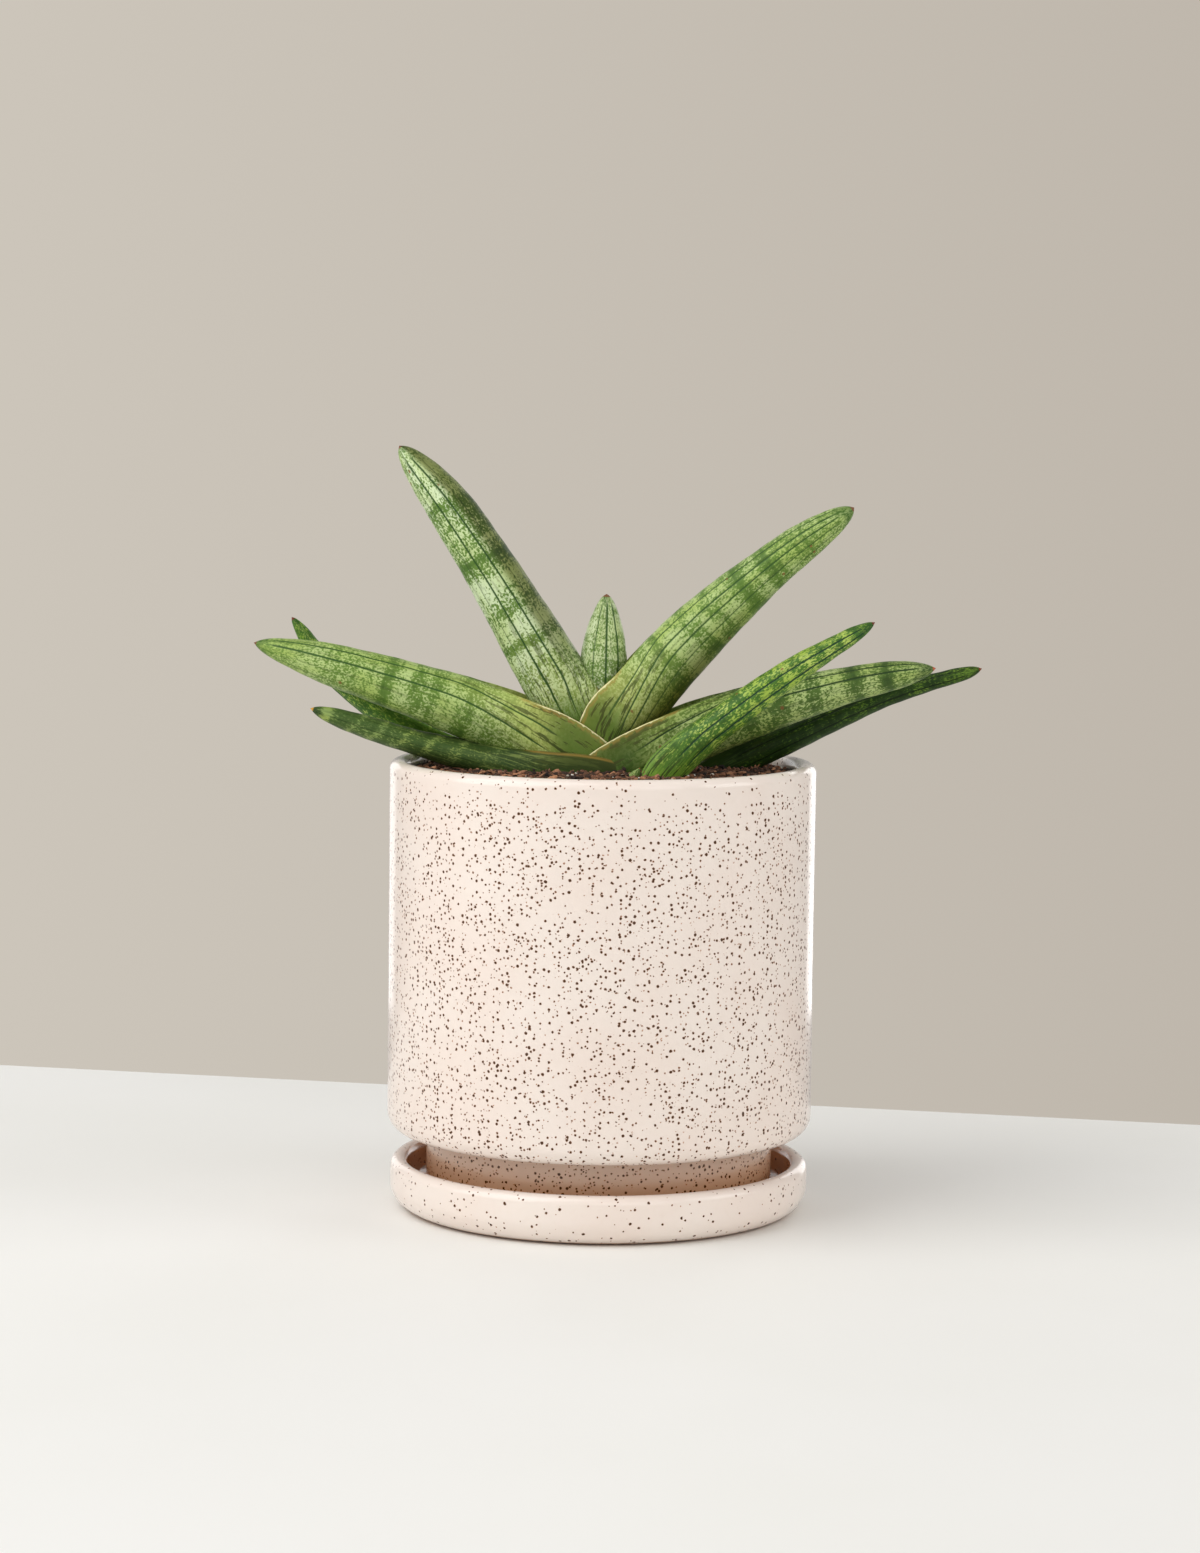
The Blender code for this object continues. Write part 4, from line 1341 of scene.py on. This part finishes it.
# Slim leaves of young offsets, beside the fan.
OFFSETS = (
    LeafBlade(
        "leaf_front_right", LeafKind.BRIGHT, "leaf_bright",
        ((13, -21, 126, 4.4, 4.4), (19, -21, 137, 6.0, 5.2), (33, -21, 149.3, 5.0, 4.8),
         (55, -21, 165.8, 4.2, 4.2), (80.6, -21, 181.7, 1.9, 2.2)),
        tip_length=10, channel_end=0.35, channel_depth=0.5, cap_length=5.0, seed=7, edging=0.0,
        grooves=((-0.75, 0.8), (-0.35, 0.8), (0.05, 0.5), (0.36, 1.0), (0.62, 0.9)),
        bands=(Band(79, 1.8, -0.6), Band(73.5, 1.6, -0.4), Band(66, 2.0, -0.65),
               Band(58.5, 2.4, -0.7), Band(50, 1.8, -0.6), Band(45, 1.4, -0.5),
               Band(38, 1.5, -0.35), Band(30, 2.0, -0.2), Band(83, 7.0, 0.18)),
    ),
    LeafBlade(
        "leaf_back_left", LeafKind.BRIGHT, "leaf_bright",
        ((-24, 21, 126, 4.2, 4.0), (-41, 20, 134.5, 4.8, 4.4), (-62, 19, 145.4, 4.0, 4.2),
         (-83.5, 17, 162, 2.8, 3.7), (-96.5, 16, 179.2, 1.4, 1.6)),
        tip_length=8, channel_end=0.8, channel_depth=0.7, facing=(0.35, -1.0, 0.45),
        cap_length=3.0, seed=8, edging=0.0,
        grooves=((-0.7, 0.8), (-0.3, 0.6), (0.1, 0.6), (0.5, 0.8)),
    ),
    LeafBlade(
        "leaf_back_right", LeafKind.SHADED, "leaf_dark",
        ((24, 15, 127, 4.4, 4.6), (40, 15, 136, 5.4, 5.2), (60, 14, 145, 4.4, 4.6),
         (88, 12, 157.6, 3.1, 3.6), (115.9, 10, 166.2, 2.0, 2.2)),
        tip_length=9, channel_end=0.5, channel_depth=0.5, cap_length=4.0, seed=9, edging=0.0,
        grooves=((-0.7, 0.8), (-0.3, 0.6), (0.05, 0.5), (0.4, 0.7), (0.72, 0.6)),
        bands=(Band(62, 3.0, -0.25), Band(80, 3.0, -0.2), Band(98, 9.0, -0.5)),
    ),
)
SCALE = LeafBlade(
    "sheath_scale", LeafKind.OLIVE, "sheath",
    ((7, -22.0, 129, 1.6, 2.6), (8.5, -22.6, 133.0, 1.2, 2.4), (11.0, -23.0, 137.4, 0.7, 0.9)),
    tip_length=3, channel_end=0.9, channel_depth=0.0, facing=(0.0, 1.0, 0.3), cap_length=1.0,
    seed=10, grooves=((-0.5, 0.5), (0.5, 0.5)), body_stations=24, tip_stations=10, ripple=0.03,
    groove_depth=0.08, point_length=0.35,
)


@dataclass
class Soil:
    """The potting soil. The plug's rings hold radius and height in mm, from the top down."""

    radius: float = 59.0 * MM
    edge_height: float = 134.3 * MM
    heap: float = 1.2 * MM
    heap_radius: float = 30.0 * MM
    crumb: float = 0.28 * MM
    rough: float = 0.11 * MM
    plug: Profile | tuple = ((59.0, 34.0), (55.0, 30.1), (46.5, 30.1), (46.5, 16.2), (42.5, 12.3))
    rings: int = 110
    segments: int = 300
    octaves: int = 4
    waves: int = 5
    pitch: float = 900.0
    finer: float = 1.9
    weaker: float = 1.7
    seed: int = 41

    def height(self, x: np.ndarray, y: np.ndarray) -> np.ndarray:
        """Height of the soil's top at each point.

        Args:
            x: Across, in metres.
            y: Away, in metres.

        Returns:
            Heights in metres.
        """
        reach = np.hypot(x, y)
        crumb = np.sin(x * 613.0 + 1.3) * np.sin(y * 547.0 + 0.4)
        crumb = crumb + 0.6 * np.sin(x * 1117.0 - y * 431.0 + 2.1)
        rough = np.zeros_like(x)
        rng = np.random.default_rng(self.seed)
        for octave in range(self.octaves):
            pitch = self.pitch * self.finer**octave
            for _ in range(self.waves):
                heading = rng.uniform(0, FULL_TURN)
                phase = rng.uniform(0, FULL_TURN)
                run = (x * math.cos(heading) + y * math.sin(heading)) * pitch
                wave = np.sin(run + phase + 1.5 * np.sin(x * 300 + y * 410 + phase))
                rough += wave / (self.weaker**octave)
        fade = smooth_rise((self.radius - 0.5 * MM - reach) / (1.5 * MM))
        lift = self.heap * np.exp(-((reach / self.heap_radius) ** 2))
        return self.edge_height + (lift + self.crumb * crumb + self.rough * rough) * fade

    def body(self) -> bpy.types.Mesh:
        """Make the closed body: a fine top on a plain plug.

        Returns:
            The mesh.
        """
        turning = np.linspace(0.0, FULL_TURN, self.segments, endpoint=False)
        reach = self.radius * np.linspace(0.0, 1.0, self.rings + 1)[1:]
        x = reach[:, None] * np.cos(turning)
        y = reach[:, None] * np.sin(turning)
        points = list(np.stack([x, y, self.height(x, y)], axis=2).reshape(-1, 3))
        faces: list[Face] = []
        for row in range(self.rings - 1):
            low = row * self.segments
            faces += ring_faces(low, low + self.segments, self.segments)
        top = len(points)
        points.append((0.0, 0.0, float(self.height(np.zeros(1), np.zeros(1))[0])))
        faces += [(top, k, (k + 1) % self.segments) for k in range(self.segments)]
        before = top - self.segments
        for radius, level in self.plug:
            start = len(points)
            for angle in turning:
                ring = (radius * math.cos(angle), radius * math.sin(angle), level)
                points.append(tuple(value * MM for value in ring))
            faces += ring_faces(before, start, self.segments)
            before = start
        faces.append(tuple(before + k for k in range(self.segments - 1, -1, -1)))
        return add_mesh("soil_top", points, faces)

    def build(self) -> bpy.types.Object:
        """Make the soil's piece."""
        peat = SoilFinish().material("moist_peat")
        return add_piece("soil_top", self.body(), peat, ("soil",))


class BitShape(Enum):
    """Shapes of the loose bits."""

    CHIP = "chip"
    FIBRE = "fibre"
    GRAIN = "grain"


@dataclass
class LooseBits:
    """Many small bits of one kind that lie in the soil's top, joined in one mesh.

    Lengths and widths are in mm. A lump's rings hold their level and their share of its size.
    """

    name: str
    shape: BitShape
    count: int
    length: tuple[float, float]
    width: tuple[float, float]
    finish: BitFinish
    seed: int
    bury: float = 0.25
    lump_rings: tuple = ((-0.5, 0.55), (-0.15, 1.0), (0.25, 0.92), (0.5, 0.45))
    thread_steps: int = 7
    thread_sides: int = 5
    crisp_angle: float = 35.0
    sown_gap: float = 2.2 * MM
    wall_gap: float = 0.4 * MM
    thread_tilt: float = 0.16
    lump_tilt: float = 0.35
    lift: float = 0.6

    def lump(self, rng: random.Random, length: float, width: float, sides: int) -> list[Vector]:
        """An uneven flat lump.

        Args:
            rng: Source of chance.
            length: Its length.
            width: Its width.
            sides: Corners of its outline.

        Returns:
            Rings of points round its own centre.
        """
        thick = width * rng.uniform(0.3, 0.55) if self.shape is BitShape.CHIP else width * 0.9
        points = []
        for level, share in self.lump_rings:
            for k in range(sides):
                angle = FULL_TURN * k / sides
                jag = rng.uniform(0.78, 1.12) * share
                across = 0.5 * width * jag * math.sin(angle)
                lift = thick * (level + rng.uniform(-0.07, 0.07))
                points.append(Vector((0.5 * length * jag * math.cos(angle), across, lift)))
        return points

    def fibre(self, rng: random.Random, length: float, width: float) -> list[Vector]:
        """A thin bent thread.

        Args:
            rng: Source of chance.
            length: Its length.
            width: Its thickness.

        Returns:
            Rings of points round its own centre.
        """
        bend = rng.uniform(-0.35, 0.35)
        curl = rng.uniform(-0.2, 0.35)
        points = []
        for row in range(self.thread_steps + 1):
            t = row / self.thread_steps - 0.5
            centre = (length * t, length * bend * (t * t - 0.08), length * curl * (0.12 - t * t))
            taper = 0.35 + 0.65 * math.cos(math.pi * t) ** 0.5 if abs(t) < 0.5 else 0.35
            radius = 0.5 * width * taper
            for k in range(self.thread_sides):
                angle = FULL_TURN * k / self.thread_sides
                side = Vector((0.0, radius * math.cos(angle), radius * math.sin(angle)))
                points.append(Vector(centre) + side)
        return points

    def closed_faces(self, count: int, sides: int, turned: bool) -> list[Face]:
        """Faces of a bit, with both its ends closed.

        Args:
            count: Number of its points.
            sides: Points of a ring.
            turned: Face the other way.

        Returns:
            The faces.
        """
        faces: list[Face] = []
        for low in range(0, count - sides, sides):
            faces += ring_faces(low, low + sides, sides, turned)
        first = tuple(range(sides))
        last = tuple(range(count - sides, count))
        return faces + ([first[::-1], last] if turned else [first, last[::-1]])

    def build(self, soil: Soil, keep_clear: list[Triple]) -> bpy.types.Object:
        """Scatter the bits and join them.

        Args:
            soil: The soil that they lie in.
            keep_clear: x, y and radius of the places where leaves leave the soil.

        Returns:
            The piece.
        """
        rng = random.Random(self.seed)
        thread = self.shape is BitShape.FIBRE
        sides = {BitShape.CHIP: 7, BitShape.GRAIN: 6, BitShape.FIBRE: self.thread_sides}[self.shape]
        points: list[Triple] = []
        faces: list[Face] = []
        tones: list[float] = []
        made = 0
        while made < self.count:
            radius = (soil.radius - self.sown_gap) * math.sqrt(rng.random())
            turn = rng.uniform(0, FULL_TURN)
            x = radius * math.cos(turn)
            y = radius * math.sin(turn)
            length = rng.uniform(*self.length) * MM
            width = rng.uniform(*self.width) * MM
            if radius + 0.5 * length > soil.radius - self.wall_gap:
                continue
            if any(math.hypot(x - cx, y - cy) < reach for cx, cy, reach in keep_clear):
                continue
            made += 1
            own = (self.fibre(rng, length, width) if thread
                   else self.lump(rng, length, width, sides))
            heading = rng.uniform(0, FULL_TURN)
            tilt = rng.gauss(0.0, self.thread_tilt if thread else self.lump_tilt)
            tone = rng.random()
            ground = float(soil.height(np.array([x]), np.array([y]))[0])
            start = len(points)
            for point in own:
                px = point.x * math.cos(tilt) + point.z * math.sin(tilt)
                pz = -point.x * math.sin(tilt) + point.z * math.cos(tilt)
                points.append((
                    x + px * math.cos(heading) - point.y * math.sin(heading),
                    y + px * math.sin(heading) + point.y * math.cos(heading),
                    ground + pz + width * (0.5 - self.bury) * self.lift,
                ))
                tones.append(tone)
            own_faces = self.closed_faces(len(own), sides, not thread)
            faces += [tuple(start + k for k in face) for face in own_faces]
        mesh = add_mesh(self.name, points, faces)
        carry(mesh, "bit_tone", np.array(tones))
        finish = self.finish.material(self.name + "_finish")
        piece = add_piece(self.name, mesh, finish, ())
        if not thread:
            mesh.set_sharp_from_angle(angle=math.radians(self.crisp_angle))
        return piece


BITS = (
    LooseBits("soil_bark", BitShape.CHIP, 420, (1.6, 4.6), (0.9, 2.4),
              BitFinish((46, 28, 20), (196, 138, 100), 1.2), 5),
    LooseBits("soil_crumbs", BitShape.GRAIN, 1500, (0.7, 1.9), (0.6, 1.6),
              BitFinish((22, 13, 9), (160, 110, 82), 2.2, 0.88), 6),
    LooseBits("soil_fibres", BitShape.FIBRE, 420, (2.5, 8.0), (0.18, 0.42),
              BitFinish((70, 40, 24), (176, 118, 76), 1.5), 7),
    LooseBits("soil_grit", BitShape.GRAIN, 150, (0.6, 1.5), (0.5, 1.2),
              BitFinish((196, 186, 170), (240, 236, 226), 2.0, 0.75), 8, 0.15),
)


@dataclass
class Plant:
    """The whole plant: the fan, the offsets' leaves, the sheath scale and the underground stem."""

    leaves: tuple[LeafBlade, ...] = FAN + OFFSETS + (SCALE,)
    fan_bases: tuple[float, ...] = (-20.0, -8.0, 4.0, 14.0)
    fan_reach: float = 13.0
    offset_reach: float = 5.0

    def build(self) -> list[bpy.types.Object]:
        """Make every leaf and dress the rhizome.

        Returns:
            The pieces.
        """
        finishes = {kind: kind.value.material("leaf_" + kind.name.lower()) for kind in LeafKind}
        pieces = [leaf.build(finishes) for leaf in self.leaves]
        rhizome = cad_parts["rhizome"]
        rhizome.data.materials.clear()
        rhizome.data.materials.append(RootFinish().material("rhizome_skin"))
        return pieces

    def bases(self) -> list[Triple]:
        """Find where the leaves leave the soil.

        Returns:
            x, y and reach of each place, in metres.
        """
        spots = [(x * MM, 0.0, self.fan_reach * MM) for x in self.fan_bases]
        for leaf in OFFSETS:
            (x0, y0), (x1, y1) = leaf.rows[0][:2], leaf.rows[1][:2]
            for share in (0.2, 0.6, 1.0):
                x = x0 + (x1 - x0) * share
                y = y0 + (y1 - y0) * share
                spots.append((x * MM, y * MM, self.offset_reach * MM))
        return spots


@dataclass
class Studio:
    """Table top, backdrop colour, lights and camera.

    Each soft light has a name, its centre, its width and height, and its power in watts. The
    ambient colour is scene-linear.
    """

    far_left: tuple[float, float] = (-0.2221, 0.2351)
    far_right: tuple[float, float] = (0.2082, 0.1438)
    reach: float = 1.1
    table_thickness: float = 0.03
    wall_left: Colour = (205, 198, 187)
    wall_right: Colour = (190, 182, 171)
    wall_spread: float = 0.18
    ambient: Colour = (0.40, 0.392, 0.377)
    lens: float = 87.74
    roll: float = 0.68
    stand: Triple = (0.0, -1.150, 0.2425)
    aim: Triple = (-0.0009, 0.0, 0.1325)
    light_aim: Triple = (0.0, 0.0, 0.13)
    lights: tuple = (
        ("key", (-1.1, -0.6, 0.85), (1.3, 1.2), 11.0),
        ("overhead", (-0.5, -0.3, 1.25), (1.1, 0.7), 4.0),
        ("fill", (0.6, -1.5, 0.7), (1.3, 1.1), 5.0),
        ("side", (1.5, -0.4, 0.75), (0.9, 0.9), 6.5),
        ("rim_left", (-0.5, 1.08, 0.35), (0.4, 1.0), 1.2),
        ("rim_right", (0.5, 1.08, 0.35), (0.4, 1.0), 2.0),
    )

    def table(self) -> None:
        """Lay the table top, whose far edge is where the photograph has it."""
        left = Vector(self.far_left)
        right = Vector(self.far_right)
        run = (right - left).normalized()
        back = Vector((run.y, -run.x)) * 2 * self.reach
        far = [left - run * self.reach, right + run * self.reach]
        outline = [*far, far[1] + back, far[0] + back]
        corners = [(p.x, p.y, z) for z in (0.0, -self.table_thickness) for p in outline]
        sides = [(k, (k + 1) % 4, (k + 1) % 4 + 4, k + 4) for k in range(4)]
        mesh = add_mesh("table_top", corners, [(3, 2, 1, 0), (4, 5, 6, 7), *sides])
        mesh.materials.append(FloorFinish().material("white_table"))
        table = add_object("table_top", mesh)

    def backdrop(self) -> None:
        """Warm grey behind the object, with a dimmer light from all round."""
        world = bpy.data.worlds.new("studio")
        bpy.context.scene.world = world
        world.use_nodes = True
        world.node_tree.nodes.clear()
        nodes = Nodes(world.node_tree)
        around = nodes.node("ShaderNodeBackground")
        around.inputs["Color"].default_value = (*self.ambient, 1.0)
        place = nodes.node("ShaderNodeTexCoord").outputs["Generated"]
        across = nodes.node("ShaderNodeSeparateXYZ", {0: place}).outputs[0]
        limits = {"Value": across, "From Min": -self.wall_spread, "From Max": self.wall_spread}
        side = nodes.node("ShaderNodeMapRange", limits).outputs["Result"]
        colours = {0: side, 6: self.wall_left, 7: self.wall_right}
        wall = nodes.node("ShaderNodeMix", colours, data_type="RGBA").outputs[2]
        seen = nodes.node("ShaderNodeBackground", {"Color": wall})
        path = nodes.node("ShaderNodeLightPath").outputs["Is Camera Ray"]
        choice = {0: path, 1: around.outputs[0], 2: seen.outputs[0]}
        either = nodes.node("ShaderNodeMixShader", choice).outputs[0]
        nodes.node("ShaderNodeOutputWorld", {"Surface": either})

    def softbox(self, name: str, place: Triple, size: tuple[float, float], watts: float) -> None:
        """Hang a rectangular soft light.

        Args:
            name: Name of the light.
            place: Its centre.
            size: Its width and height.
            watts: Its power.
        """
        light = bpy.data.lights.new(name, "AREA")
        light.shape = "RECTANGLE"
        light.size, light.size_y = size
        light.energy = watts
        item = add_object(name, light)
        item.location = place
        way = Vector(self.light_aim) - Vector(place)
        item.rotation_euler = way.to_track_quat("-Z", "Y").to_euler()
        item.visible_camera = False

    def camera(self) -> None:
        """Stand the camera where the photograph was taken."""
        lens = bpy.data.cameras.new("photo_view")
        lens.lens = self.lens
        lens.sensor_width = 36.0
        lens.sensor_fit = "AUTO"
        lens.clip_start = 0.01
        item = add_object("photo_view", lens)
        item.location = self.stand
        look = (Vector(self.aim) - item.location).to_track_quat("-Z", "Y").to_matrix().to_4x4()
        item.rotation_euler = (look @ Matrix.Rotation(math.radians(self.roll), 4, "Z")).to_euler()
        bpy.context.scene.camera = item

    def build(self) -> None:
        """Set the stage and keep display colours as they are."""
        self.table()
        self.backdrop()
        for light in self.lights:
            self.softbox(*light)
        self.camera()
        bpy.context.scene.view_settings.view_transform = "Standard"
        bpy.context.scene.view_settings.look = "None"


def main() -> None:
    """Build the studio, the crockery, the soil and the plant in order."""
    logging.basicConfig(level=logging.INFO, format="%(name)s: %(message)s")
    Studio().build()
    soil = Soil()
    plant = Plant()
    pieces = [*Crockery().build(), soil.build(), *plant.build()]
    pieces += [bits.build(soil, plant.bases()) for bits in BITS]
    for piece in pieces:
        LOG.info("%s: %d faces", piece.name, len(piece.data.polygons))


if __name__ == "__main__":
    main()
